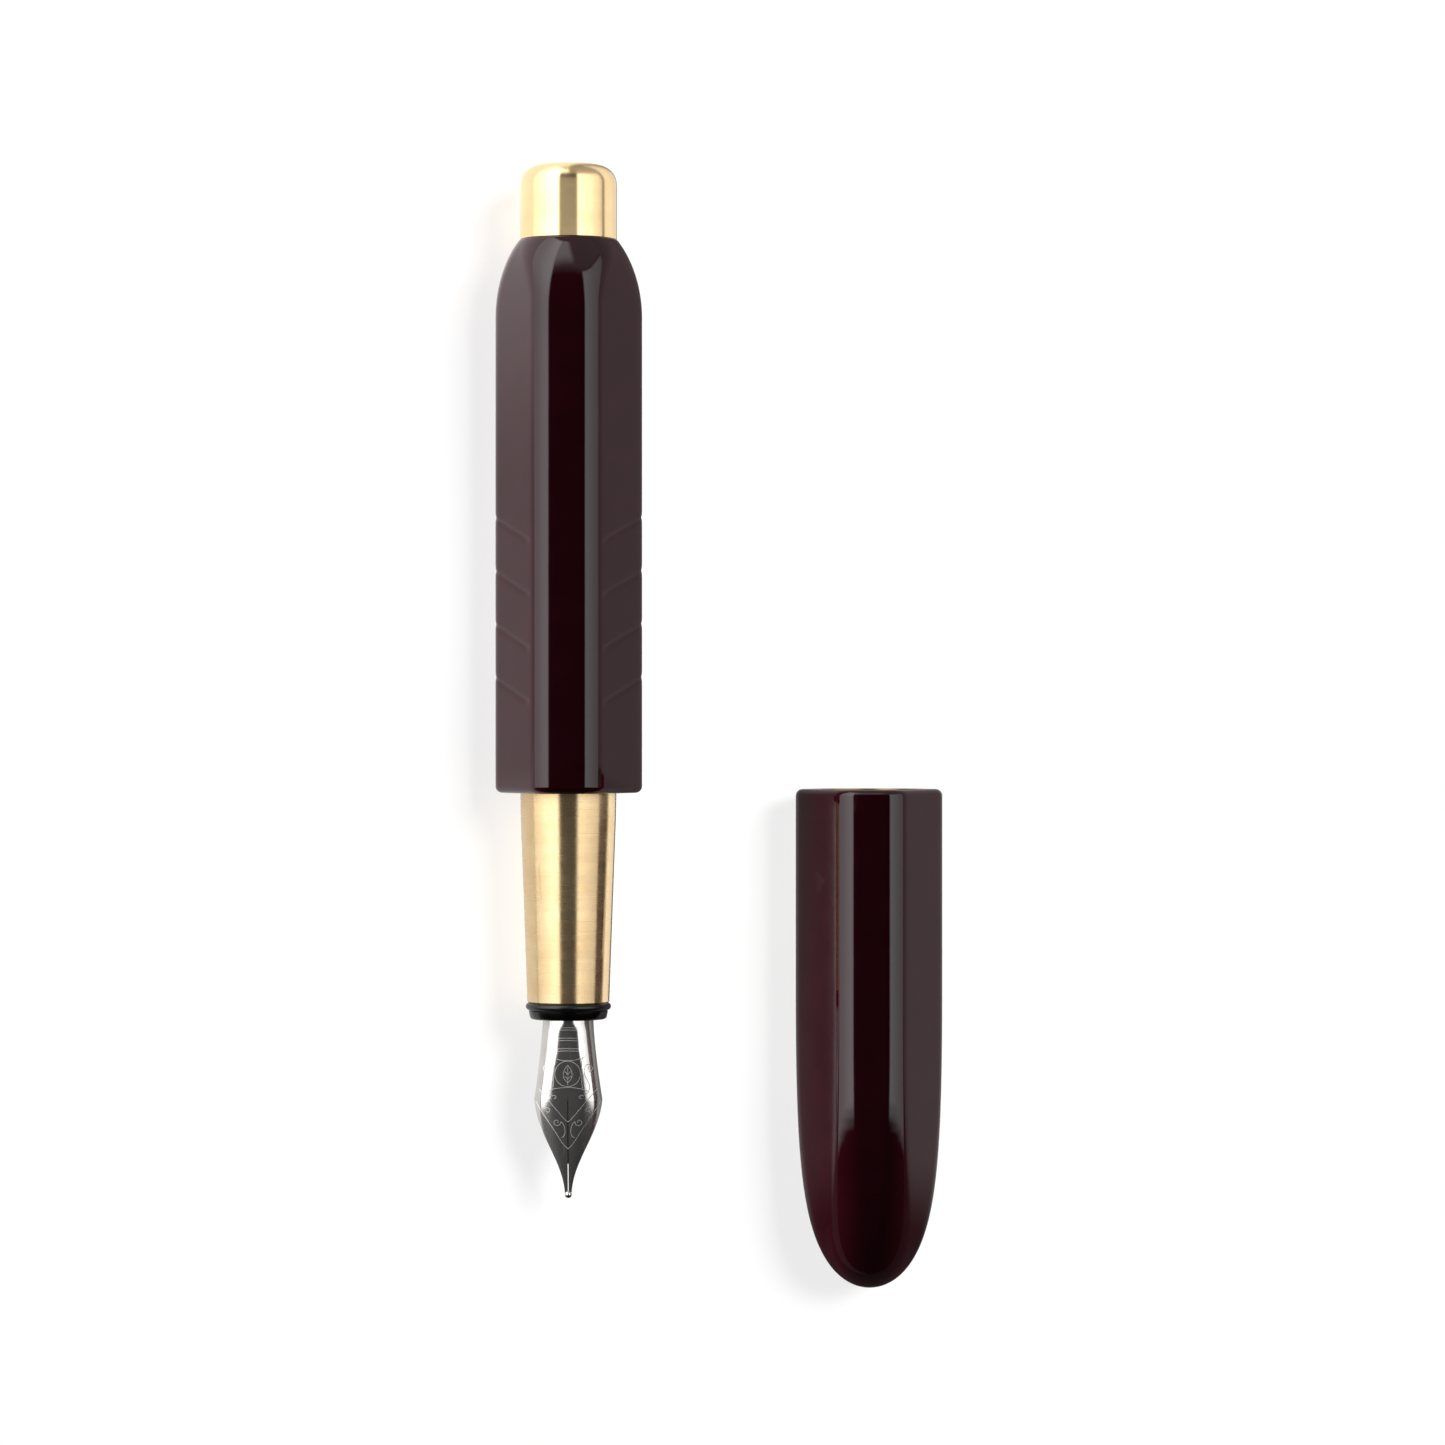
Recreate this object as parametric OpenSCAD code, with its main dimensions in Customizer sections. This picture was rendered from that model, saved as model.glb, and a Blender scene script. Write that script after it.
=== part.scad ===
// Fountain pen with a faceted lacquered barrel and cap and turned brass metalwork.
// It lies uncapped on a table, with the cap beside it, mouth towards the tail.
// Millimetres. +Y runs from the nib to the tail, +Z is up, and the origin is on
// the table under the middle of the whole set.

/* [Faceted body] */
// Distance from the axis to each of the three long flats
flat_reach = 6.4; // [6.1:0.05:8]
// How much farther from the axis the three short ridges are than the flats
ridge_rise = 1.3; // [0.6:0.05:1.6]
// Radius that rounds the six long edges
edge_round = 2.7; // [1.2:0.1:3]
// Radius of the edge at the barrel's open end and at the cap's mouth
mouth_round = 0.7; // [0.3:0.1:1]
// Thinnest wall between a long flat and the brass tube inside it
shell_wall = 0.8; // [0.6:0.05:1.2]

/* [Barrel] */
// Length of the lacquered barrel
barrel_len = 58; // [54:0.2:72]
// Length of the rounded shoulder at the tail
dome_len = 8; // [7:0.2:8.6]
// Half length of the ellipse that the shoulder follows
dome_axis = 10.8; // [10.4:0.1:14]
// Radius of the shoulder's last edge, beside the tail post
tail_round = 0.15; // [0.1:0.05:0.5]
// Number of chevron grooves on each upper flat
groove_count = 4; // [0:1:6]
// Distance from the open end to the middle of the first groove
groove_first = 10.5; // [8:0.5:14]
// Distance between grooves
groove_pitch = 5.6; // [4:0.1:7]
// Slope of a groove away from square, in degrees
groove_slope = 18.5; // [0:0.5:30]
// Depth of a groove
groove_depth = 0.15; // [0.05:0.01:0.3]

/* [Tail post] */
// Length of the post that shows behind the barrel
post_len = 8.1; // [5:0.1:10]
// Radius of the post's rear edge
post_round = 2; // [0.3:0.1:2.4]
// Height of the slight dome on the post's end
post_crown = 0.25; // [0.1:0.05:0.5]
// Wall of the hollow spigot that carries the post
spigot_wall = 0.55; // [0.4:0.05:0.7]

/* [Cap] */
// Length of the cap
cap_len = 52.3; // [50:0.1:64]
// Length of the tapered nose, from where the flats start to close in
nose_len = 31.5; // [24:0.5:34]
// How far the cap's mouth lies towards the tail from the barrel's open end
cap_lead = 0.4; // [0:0.1:4]
// Distance between the pen's axis and the cap's
cap_offset = 31.6; // [20:0.2:50]
// Wall of the brass tube inside the cap
cap_liner_wall = 0.42; // [0.3:0.02:0.6]
// Depth of the brass tube inside the cap
cap_liner_len = 26; // [22:0.5:28]
// Depth of the plastic inner cap's closed end
inner_cap_depth = 46; // [45:0.2:47]

/* [Grip section] */
// Length of the section from the barrel to the rubber ring
grip_len = 22; // [18:0.2:24]
// Length of the nearly straight root beside the barrel
grip_root_len = 2.5; // [1:0.1:5]
// Radius of the section at its front end
grip_front_r = 4.3; // [4.1:0.05:4.5]
// Length of the threaded tenon inside the barrel
tenon_len = 8.5; // [6:0.5:12]

/* [Nib unit] */
// Length of the nib that shows in front of the collar
nib_len = 18.8; // [17:0.1:20]
// Radius of the nib's tail, where it wraps the feed
nib_tail_r = 2.65; // [2.4:0.05:2.8]
// Half width of the nib across its shoulders
nib_shoulder_w = 3.57; // [3:0.01:3.8]
// Thickness of the nib's sheet
nib_sheet = 0.28; // [0.2:0.01:0.35]
// Width of the slit between the tines
slit_w = 0.1; // [0.06:0.01:0.15]
// Radius of the tipping ball
tipping_r = 0.37; // [0.3:0.01:0.5]
// Width of the black collar in front of the rubber ring
collar_w = 0.95; // [0.6:0.05:1.5]
// Radius of the collar
collar_r = 4.15; // [3.9:0.05:4.25]
// Width of the rubber ring at the section's front end
nose_ring_w = 0.75; // [0.5:0.05:1]

/* [Converter] */
// Radius of the converter's clear tube
tube_r = 3.5; // [3.3:0.05:3.6]
// Wall of the converter's tube
tube_wall = 0.6; // [0.4:0.05:0.8]
// Length of the converter from its mouth to the end of its knob
converter_len = 70; // [68:0.5:70.5]
// Length of the turning knob
knob_len = 12.5; // [10:0.5:14]
// Travel of the piston
piston_travel = 23; // [15:1:23]

/* [Fits] */
// Clearance between the cap's bore and the tail post that it slides over
post_fit = 0.08; // [0.03:0.01:0.1]
// How much smaller the section's root is than the tail post
root_ease = 0.07; // [0.03:0.01:0.15]
// Clearance of the screw threads, which are drawn as plain cylinders
thread_fit = 0.05; // [0.03:0.01:0.1]
// Clearance of the converter's piston rod and screw
rod_fit = 0.06; // [0.03:0.01:0.1]
// Clearance between the converter and the section's bore
converter_ease = 0.45; // [0.4:0.05:0.6]

/* [Hidden] */

// True curves carry over at any number of sides above twelve
$fn = 96;
// Rounding steps on each long edge, and rings along each curved end
edge_steps = 7;
dome_rings = 12;
nose_rings = 18;
mouth_rings = 4;
// Overlap that makes each cut pass through a face
cut = 0.5;

// The body's section: three long flats and three short ridges, all six edges rounded
ridge_reach = flat_reach + ridge_rise;
half_w = (flat_reach + ridge_reach - 2 * edge_round) / sqrt(3) + edge_round;
core_w = half_w - edge_round;
// The section turns into a circle as it narrows, by this power of its width
round_power = 4;
// The cap's nose narrows by a mix of a slow power and a fast one of the way along it
nose_slow = 0.41;
nose_slow_power = 2.5;
nose_fast_power = 6;
nose_flat = 0.3;

// Brass tubes and what slides in them
liner_r = flat_reach - shell_wall;
cap_bore_r = liner_r - cap_liner_wall;
post_r = cap_bore_r - post_fit;
root_r = post_r - root_ease;
grip_bore_r = tube_r + converter_ease;
tenon_r = grip_bore_r + 0.65;
barrel_bore_r = tenon_r + thread_fit;
spigot_r = 4.4;
liner_len = barrel_len - dome_len - 0.1;
liner_neck_len = 3;
post_floor = 1.5;

// Rubber joint ring on the tenon
joint_ring_w = 0.72;
joint_ring_seat_r = tenon_r - 0.3;
joint_seat_len = joint_ring_w + 0.06;
joint_seat_r = joint_ring_seat_r + joint_ring_w + 0.06;

// Nib unit
ring_z = -grip_len;
collar_z = ring_z - nose_ring_w;
nib_z = collar_z - collar_w;
nose_ring_r = grip_front_r + 0.175;
collar_neck_r = nose_ring_r - nose_ring_w;
collar_front_r = collar_r - 0.15;
sleeve_r = 3.15;
sleeve_len = 8.5;
nipple_r = 1.3;
nipple_len = 4.8;
nipple_bore_r = 0.7;
nib_bore_r = nib_tail_r + 0.03;
feed_r = nib_tail_r - nib_sheet - 0.03;
feed_front_len = 15.2;
feed_front_r = 0.66;
feed_fins = 9;
fin_pitch = 1.15;
fin_gap = 0.45;
fin_depth = 0.55;
nib_tail_len = 8;
shoulder_at = 8.4;
taper_mix = 0.2;
tine_end = nib_len - 0.6;
tine_end_w = 0.36;
crown_drop = 2.3;
nib_flare = 0.2;
// The sheet is round behind the first of these places and flattest past the last one
round_until = 0.3;
flatter_at = 1.2;
flatter_until = 3;
flattest_at = 5.6;
nib_steps = 30;
nib_bands = 12;

// Converter stations, from the barrel's open end towards the tail
mouth_z = ring_z + sleeve_len + 0.2;
guide_z = mouth_z + 38;
tube_end_z = guide_z + 4;
band_z = tube_end_z - 6;
band_end_z = mouth_z + converter_len - knob_len - 0.2;
band_r = tube_r + 0.25;
knob_z = band_end_z + 0.2;
knob_end_z = mouth_z + converter_len;
knob_r = 3.6;
knob_hollow_r = 1.85;
knob_floor = 1.5;
knob_neck_r = 2.5;
knob_neck_len = 1.2;
knob_flutes = 24;
rod_r = 1.7;
screw_r = 1;
seal_r = tube_r - tube_wall - 0.02;
seal_len = 4;
seal_z = mouth_z + 6.5;
rod_z = seal_z + seal_len;
rod_floor = 1.5;
rod_end_z = guide_z + 6.3;
screw_z = rod_z + rod_floor + piston_travel + 0.5;
socket_depth = 5;

// Cap's inner parts, as depths from its mouth
inner_cap_r = 4.9;
inner_cap_bore_r = nose_ring_r + 0.03;
inner_cap_mouth = 18.5;
inner_cap_lead = 0.2;
flange_r = cap_bore_r + 0.2;
inner_cap_flange = 1.5;
inner_cap_floor = 1.4;
clutch_depth = 1.2;
clutch_w = 2;
clutch_seat = 0.27;
clutch_gap = 1.5;

// Places in the frame
set_len = barrel_len + post_len + cap_len - cap_lead;
face_y = set_len / 2 - barrel_len - post_len;
pen_x = -cap_offset / 2;
cap_x = cap_offset / 2;
axis_z = flat_reach;

// The pen's own frame: its origin is at the barrel's open end and +Z runs to the tail
module on_pen() {
    translate([pen_x, face_y, axis_z]) rotate([-90, 0, 0]) children();
}

// The cap's own frame: its origin is at the mouth and the nose is at -cap_len
module on_cap() {
    translate([cap_x, face_y + cap_lead, axis_z]) rotate([-90, 0, 0]) children();
}

// A turned ring or tube between two stations
module tube(from, to, outer, inner) {
    rotate_extrude() polygon([[inner, from], [outer, from], [outer, to], [inner, to]]);
}

// A turned solid from a half outline of [radius, station] points
module turned(outline) {
    rotate_extrude() polygon(outline);
}

// Points of a quarter round between two angles, for turned outlines
function arc(r, z, radius, from, to, steps = 6) =
    [for (i = [0:steps]) let (a = from + (to - from) * i / steps)
        [r + radius * cos(a), z + radius * sin(a)]];

// Corner of the body's sharp core between two neighbouring faces, ridge first
function reach(k) = (k % 2 == 0 ? ridge_reach : flat_reach) - edge_round;
function face_angle(k) = 60 * k - 90;
function core_corner(k) =
    let (a = reach(k) - reach(k + 1) / 2, b = reach(k + 1) - reach(k) / 2)
    [a * cos(face_angle(k)) + b * cos(face_angle(k + 1)),
     a * sin(face_angle(k)) + b * sin(face_angle(k + 1))] / 0.75;

// One closed ring of the section: the core scaled by c, rounded by r, at station z
function ring(c, r, z) =
    [for (k = [0:5], i = [0:edge_steps])
        let (a = face_angle(k + i / edge_steps), p = c * core_corner(k))
        [p.x + r * cos(a), p.y + r * sin(a), z]];

// The same ring by its half width, where share is the width over the full width
function narrowed(w, share, z) =
    let (c = pow(share, round_power)) ring(c, w - c * core_w, z);

// How far a rounded edge stands back at a distance d from its end face
function stand_back(d, r) = d >= r ? 0 : r - sqrt(r * r - (r - d) * (r - d));

// A solid skin through a stack of rings, lowest station first. Each end is closed by
// strips that join one half of its ring to the other, so a bent sheet closes too.
module skin(rings) {
    n = len(rings[0]);
    last = (len(rings) - 1) * n;
    polyhedron(
        points = [for (g = rings) each g],
        faces = concat(
            [for (i = [0:n / 2 - 2]) [i, i + 1, n - 2 - i, n - 1 - i]],
            [for (i = [0:n / 2 - 2]) [last + n - 1 - i, last + n - 2 - i, last + i + 1, last + i]],
            [for (j = [0:len(rings) - 2], i = [0:n - 1]) let (m = (i + 1) % n)
                [j * n + i, (j + 1) * n + i, (j + 1) * n + m]],
            [for (j = [0:len(rings) - 2], i = [0:n - 1]) let (m = (i + 1) % n)
                [j * n + i, (j + 1) * n + m, j * n + m]]));
}

// Rings of a rounded open end, from its face to where the sides run straight
function mouth_edge() =
    [for (i = [0:mouth_rings]) let (a = 90 * i / mouth_rings)
        [mouth_round * (1 - cos(a)), mouth_round * (1 - sin(a))]];

// The barrel's shoulder: an ellipse that closes round the tail post
function dome_share(d) = sqrt(1 - pow(d / dome_axis, 2));
function dome_w(d) = half_w * dome_share(d) - stand_back(dome_len - d, tail_round);
dome_stations = concat(
    [for (i = [0:dome_rings]) (dome_len - tail_round) * i / dome_rings],
    [for (i = [1:3]) dome_len - tail_round * (1 - sin(30 * i))]);

// The cap's nose
function nose_share(v) =
    sqrt(1 - nose_slow * pow(v, nose_slow_power) - (1 - nose_slow) * pow(v, nose_fast_power));

module barrel_skin() {
    skin(concat(
        [for (e = mouth_edge()) ring(1, edge_round - e[1], e[0])],
        [for (d = dome_stations)
            let (c = pow(dome_share(d), round_power) * (1 - pow(d / dome_len, 3)))
            ring(c, dome_w(d) - c * core_w, barrel_len - dome_len + d)]));
}

module cap_skin() {
    skin(concat(
        [ring(0, nose_flat, -cap_len)],
        [for (i = [nose_rings - 1:-1:0])
            let (v = sin(90 * i / nose_rings), share = nose_share(v))
            narrowed(half_w * share, share, nose_len - cap_len - v * nose_len)],
        [for (i = [mouth_rings:-1:0])
            let (e = mouth_edge()[i]) ring(1, edge_round - e[1], -e[0])]));
}

// Cutter for one groove across an upper flat, from the ridge out over the edge
module groove(z) {
    groove_r = 0.6;
    groove_half = 4.3;
    translate([flat_reach + groove_r - groove_depth, 0, z])
        rotate([groove_slope - 90, 0, 0])
            cylinder(h = 2 * groove_half, r = groove_r, center = true, $fn = 32);
}

module grooves() {
    for (side = [0, 1], i = [0:1:groove_count - 1])
        mirror([side, 0, 0]) rotate([0, 0, -30]) groove(groove_first + i * groove_pitch);
}

module barrel_shell() {
    color([0.28, 0.05, 0.09]) on_pen() difference() {
        barrel_skin();
        translate([0, 0, -cut]) cylinder(h = liner_len + cut, r = liner_r);
        cylinder(h = barrel_len + cut, r = spigot_r);
        grooves();
    }
}

// Brass tube glued into the barrel, threaded for the section and necked for the post
module barrel_liner() {
    neck_z = liner_len - liner_neck_len;
    color([0.85, 0.7, 0.42]) on_pen() turned([
        [joint_seat_r, 0], [liner_r, 0], [liner_r, liner_len], [spigot_r, liner_len],
        [spigot_r, neck_z], [barrel_bore_r, neck_z],
        [barrel_bore_r, joint_seat_len], [joint_seat_r, joint_seat_len]]);
}

// Turned tail: a polished post for the cap on a hollow spigot fixed in the liner
module tail_post() {
    z0 = barrel_len;
    z1 = barrel_len + post_len - post_crown;
    hollow_r = spigot_r - spigot_wall;
    spigot_z = liner_len - liner_neck_len;
    color([0.9, 0.74, 0.45]) on_pen() turned(concat(
        [[hollow_r, spigot_z], [spigot_r, spigot_z], [spigot_r, z0], [post_r, z0]],
        arc(post_r - post_round, z1 - post_round, post_round, 0, 90),
        [[(post_r - post_round) / 2, z1 + post_crown * 0.75], [0, z1 + post_crown],
         [0, z1 - post_floor], [hollow_r, z1 - post_floor]]));
}

// Turned grip, with a tenon behind it and a bore from end to end
module grip_section() {
    web_z = ring_z + sleeve_len;
    root_end_r = root_r - 0.03;
    color([0.93, 0.78, 0.5]) on_pen() turned([
        [sleeve_r + thread_fit, ring_z], [grip_front_r - 0.15, ring_z],
        [grip_front_r, ring_z + 0.15], [root_end_r, -grip_root_len], [root_r, 0],
        [joint_ring_seat_r, 0], [joint_ring_seat_r, joint_seat_len],
        [tenon_r, joint_seat_len], [tenon_r, tenon_len - 0.3], [tenon_r - 0.3, tenon_len],
        [grip_bore_r, tenon_len], [grip_bore_r, web_z], [sleeve_r + thread_fit, web_z]]);
}

// Rubber ring on the tenon, squeezed in a recess of the liner
module section_joint_ring() {
    r = joint_ring_w / 2;
    color([0.06, 0.06, 0.06]) on_pen() translate([0, 0, joint_seat_len / 2])
        rotate_extrude() translate([joint_ring_seat_r + r, 0]) circle(r, $fn = 32);
}

// Rubber ring between the grip and the collar, which seals against the inner cap
module nose_ring() {
    r = nose_ring_w / 2;
    color([0.05, 0.05, 0.05]) on_pen() translate([0, 0, ring_z - r])
        rotate_extrude() union() {
            translate([nose_ring_r - r, 0]) circle(r, $fn = 32);
            translate([collar_neck_r, -r]) square([r, nose_ring_w]);
        }
}

// Black moulded housing: collar, neck, threaded sleeve and the nipple that feeds ink
module nib_collar() {
    web_z = ring_z + sleeve_len;
    floor_z = web_z - 1;
    color([0.04, 0.04, 0.045]) on_pen() turned([
        [nib_bore_r, nib_z], [collar_front_r, nib_z], [collar_r, nib_z + 0.3],
        [collar_r, collar_z], [collar_neck_r, collar_z], [collar_neck_r, ring_z],
        [sleeve_r, ring_z], [sleeve_r, web_z], [nipple_r, web_z],
        [nipple_r, web_z + nipple_len], [nipple_bore_r, web_z + nipple_len],
        [nipple_bore_r, floor_z], [nib_bore_r, floor_z]]);
}

// Black feed: a round shank in the collar and a finned nose under the nib
module feed() {
    tail_z = nib_z + nib_tail_len;
    color([0.05, 0.05, 0.055]) on_pen() difference() {
        union() {
            translate([0, 0, nib_z]) cylinder(h = nib_tail_len, r = feed_r);
            translate([0, 0, nib_z - feed_front_len])
                cylinder(h = feed_front_len, r1 = feed_front_r, r2 = feed_r);
        }
        translate([0, 0, nib_z - feed_front_len - cut])
            cylinder(h = tail_z - nib_z + feed_front_len + 2 * cut, r = 0.25, $fn = 24);
        for (i = [1:feed_fins]) {
            z = nib_z - i * fin_pitch;
            r = feed_r - (feed_r - feed_front_r) * i * fin_pitch / feed_front_len - fin_depth;
            translate([0, 0, z]) tube(0, fin_gap, feed_r + cut, r);
        }
    }
}

// Nib outline: half width at a distance t in front of the collar. It widens from the tail
// to the shoulders, then eases into the long taper of the tines.
function tail_w(t) =
    nib_tail_r + (nib_shoulder_w - nib_tail_r) * pow(max(0, t) / shoulder_at, 1.4);
function tine_w(t) =
    let (q = (t - shoulder_at) / (tine_end - shoulder_at),
         fall = (1 - taper_mix) * (1 + cos(180 * q)) / 2 + taper_mix * (1 - q))
    tine_end_w + (nib_shoulder_w - tine_end_w) * fall;
function nib_w(t) = t <= shoulder_at ? tail_w(t) : tine_w(t);
// Height of the nib's crown above the axis, and the radius that its sheet is bent to
function nib_top(t) = nib_tail_r - crown_drop * pow(max(0, t) / nib_len, 1.5);
function nib_bend(t) = nib_tail_r + nib_flare * max(0, t);
// Power that flattens the sheet's crown; 2 leaves it round
function nib_power(t) =
    2 + way_between(t, round_until, flatter_at) + way_between(t, flatter_until, flattest_at);
function way_between(t, from, to) = min(1, max(0, (t - from) / (to - from)));
// One side of the sheet at t, as a row of points from edge to edge
function sheet_row(t, inset) =
    [for (i = [0:nib_bands])
        let (u = sin(90 * (2 * i / nib_bands - 1)), w = nib_w(t), p = nib_power(t),
             drop = sqrt(max(0, pow(nib_bend(t), 2) - w * w * pow(abs(u), p))),
             a = sign(u) * atan2(w * p / 2 * pow(abs(u), p - 1), drop))
        [w * u - inset * sin(a), nib_bend(t) - nib_top(t) - drop + inset * cos(a), nib_z - t]];

// Bent sheet with its tines parted by the slit
module nib() {
    n = nib_bands + 1;
    stations = [for (j = [0:nib_steps]) tine_end - (tine_end + nib_tail_len - 0.5) * j / nib_steps];
    loops = [for (t = stations)
        concat(sheet_row(t, 0), [for (i = [0:n - 1]) sheet_row(t, nib_sheet)[n - 1 - i]])];
    color([0.75, 0.76, 0.78]) on_pen() difference() {
        skin(loops);
        translate([-slit_w / 2, -10, nib_z - nib_len]) cube([slit_w, 20, nib_len - shoulder_at]);
    }
}

// Hard metal ball welded on the end of the tines
module nib_tipping() {
    color([0.8, 0.8, 0.82]) on_pen()
        translate([0, nib_sheet / 2 - nib_top(tine_end), nib_z - nib_len + tipping_r])
            sphere(tipping_r, $fn = 48);
}

// Clear reservoir with the socket that pushes on to the nipple
module converter_tube() {
    inner_r = tube_r - tube_wall;
    socket_r = nipple_r + 0.02;
    color([0.85, 0.87, 0.9, 0.5]) on_pen() turned([
        [socket_r, mouth_z], [tube_r, mouth_z], [tube_r, tube_end_z],
        [inner_r, tube_end_z], [inner_r, mouth_z + socket_depth + 1],
        [socket_r, mouth_z + socket_depth]]);
}

// Plated band that holds the tube, the guide and the knob in line
module converter_band() {
    color([0.8, 0.8, 0.82]) on_pen() tube(band_z, band_end_z, band_r, tube_r);
}

// Plastic guide that the piston rod slides through
module converter_guide() {
    neck_r = knob_neck_r + rod_fit;
    color([0.07, 0.07, 0.08]) on_pen() turned([
        [rod_r + rod_fit, guide_z], [tube_r - tube_wall, guide_z],
        [tube_r - tube_wall, tube_end_z], [tube_r, tube_end_z], [tube_r, band_end_z],
        [neck_r, band_end_z], [neck_r, band_end_z - knob_neck_len],
        [rod_r + rod_fit, band_end_z - knob_neck_len]]);
}

// Turning knob, hollow for the rod that backs into it, with grip flutes
module converter_knob() {
    floor_z = knob_end_z - knob_floor;
    neck_z = knob_z - knob_neck_len + 0.2;
    color([0.07, 0.07, 0.08]) on_pen() difference() {
        turned([
            [knob_hollow_r, neck_z], [knob_neck_r, neck_z], [knob_neck_r, knob_z],
            [knob_r, knob_z], [knob_r, knob_end_z - 0.5], [knob_r - 0.5, knob_end_z],
            [0, knob_end_z], [0, floor_z], [knob_hollow_r, floor_z]]);
        for (i = [0:knob_flutes - 1])
            rotate([0, 0, 360 * i / knob_flutes]) translate([knob_r + 0.15, 0, knob_z + 1])
                cylinder(h = knob_len - 2.5, r = 0.3, $fn = 16);
    }
}

// Screw that turns with the knob and draws the rod along
module converter_screw() {
    color([0.1, 0.1, 0.11]) on_pen() translate([0, 0, screw_z])
        cylinder(h = knob_end_z - knob_floor - screw_z, r = screw_r);
}

// Hollow rod with the inner thread, closed where it holds the seal
module piston_rod() {
    bore_z = rod_z + rod_floor;
    color([0.12, 0.12, 0.13]) on_pen() turned([
        [0, rod_z], [rod_r, rod_z], [rod_r, rod_end_z],
        [screw_r + rod_fit, rod_end_z], [screw_r + rod_fit, bore_z], [0, bore_z]]);
}

// Two lipped piston seal
module piston_seal() {
    waist_r = seal_r - 0.5;
    color([0.1, 0.1, 0.1]) on_pen() turned([
        [0, seal_z + 0.8], [seal_r - 0.7, seal_z], [seal_r, seal_z], [seal_r, seal_z + 0.8],
        [waist_r, seal_z + 1.4], [waist_r, rod_z - 1.4], [seal_r, rod_z - 0.8],
        [seal_r, rod_z], [0, rod_z]]);
}

module cap_shell() {
    color([0.28, 0.05, 0.09]) on_cap() difference() {
        cap_skin();
        translate([0, 0, -cap_liner_len]) cylinder(h = cap_liner_len + cut, r = liner_r);
        translate([0, 0, -inner_cap_depth]) cylinder(h = inner_cap_depth, r = inner_cap_r);
    }
}

// Brass tube in the cap, bored to slide over the tail post, with a seat for the clutch ring
module cap_liner() {
    seat_r = cap_bore_r + clutch_seat;
    step_z = inner_cap_lead - inner_cap_mouth;
    color([0.85, 0.7, 0.42]) on_cap() turned([
        [flange_r, -cap_liner_len], [liner_r, -cap_liner_len], [liner_r, 0], [cap_bore_r, 0],
        [cap_bore_r, -clutch_depth], [seat_r, -clutch_depth],
        [seat_r, -clutch_depth - clutch_w], [cap_bore_r, -clutch_depth - clutch_w],
        [cap_bore_r, step_z], [flange_r, step_z]]);
}

// Split spring ring that grips the section's root or the post
module cap_clutch_ring() {
    color([0.75, 0.76, 0.78]) on_cap() difference() {
        tube(-clutch_depth - clutch_w + 0.05, -clutch_depth - 0.05,
             cap_bore_r + clutch_seat, cap_bore_r);
        translate([-clutch_gap / 2, 0, -clutch_depth - clutch_w - cut])
            cube([clutch_gap, cap_bore_r + cut, clutch_w + 2 * cut]);
    }
}

// Plastic cup that closes round the nib when the cap is on
module inner_cap() {
    color([0.08, 0.08, 0.09]) on_cap() turned([
        [0, -inner_cap_depth], [inner_cap_r, -inner_cap_depth],
        [inner_cap_r, -inner_cap_mouth - inner_cap_flange],
        [flange_r, -inner_cap_mouth - inner_cap_flange], [flange_r, -inner_cap_mouth],
        [inner_cap_bore_r, -inner_cap_mouth],
        [inner_cap_bore_r, -inner_cap_depth + inner_cap_floor],
        [0, -inner_cap_depth + inner_cap_floor]]);
}

barrel_shell();
barrel_liner();
tail_post();
grip_section();
section_joint_ring();
nose_ring();
nib_collar();
feed();
nib();
nib_tipping();
converter_tube();
converter_band();
converter_guide();
converter_knob();
converter_screw();
piston_rod();
piston_seal();
cap_shell();
cap_liner();
cap_clutch_ring();
inner_cap();
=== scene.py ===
import bmesh
import bpy
from math import atan2, cos, pi, radians, sin, sqrt
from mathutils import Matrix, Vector


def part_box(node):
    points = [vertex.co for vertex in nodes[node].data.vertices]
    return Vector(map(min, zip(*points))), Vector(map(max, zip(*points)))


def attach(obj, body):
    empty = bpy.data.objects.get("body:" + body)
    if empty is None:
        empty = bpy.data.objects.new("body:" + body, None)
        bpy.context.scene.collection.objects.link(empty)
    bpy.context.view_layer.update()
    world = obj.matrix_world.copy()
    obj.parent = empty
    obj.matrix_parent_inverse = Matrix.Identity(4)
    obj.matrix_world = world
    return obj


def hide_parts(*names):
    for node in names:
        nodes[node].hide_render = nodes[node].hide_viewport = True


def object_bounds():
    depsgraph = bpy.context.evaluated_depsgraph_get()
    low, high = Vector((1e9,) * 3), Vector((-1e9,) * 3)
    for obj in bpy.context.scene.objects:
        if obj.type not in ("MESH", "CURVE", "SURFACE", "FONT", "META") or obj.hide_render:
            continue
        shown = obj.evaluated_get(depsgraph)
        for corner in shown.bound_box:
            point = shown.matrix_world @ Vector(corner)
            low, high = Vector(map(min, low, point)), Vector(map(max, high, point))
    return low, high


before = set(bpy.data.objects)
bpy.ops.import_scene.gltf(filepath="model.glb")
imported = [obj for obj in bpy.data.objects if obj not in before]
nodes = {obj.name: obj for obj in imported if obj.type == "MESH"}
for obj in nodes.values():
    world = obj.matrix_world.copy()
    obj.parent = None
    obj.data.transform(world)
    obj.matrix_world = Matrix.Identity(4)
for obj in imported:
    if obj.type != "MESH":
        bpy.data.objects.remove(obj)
cad_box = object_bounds()
mm = 0.001


# ---------------------------------------------------------------- barrel shell
# The barrel is one moulded and hand polished piece with three long flats and three
# short ridges. It is dipped in deep burgundy lacquer, and four shallow chevron
# grooves are cut across each upper flat. It is glued over the brass liner.

barrel_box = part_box("barrel_shell")
post_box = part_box("tail_post")
liner_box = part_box("barrel_liner")

pen_x = (barrel_box[0][0] + barrel_box[1][0]) / 2
axis_z = (post_box[0][2] + post_box[1][2]) / 2
face_y = barrel_box[0][1]
barrel_len = barrel_box[1][1] - face_y

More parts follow.
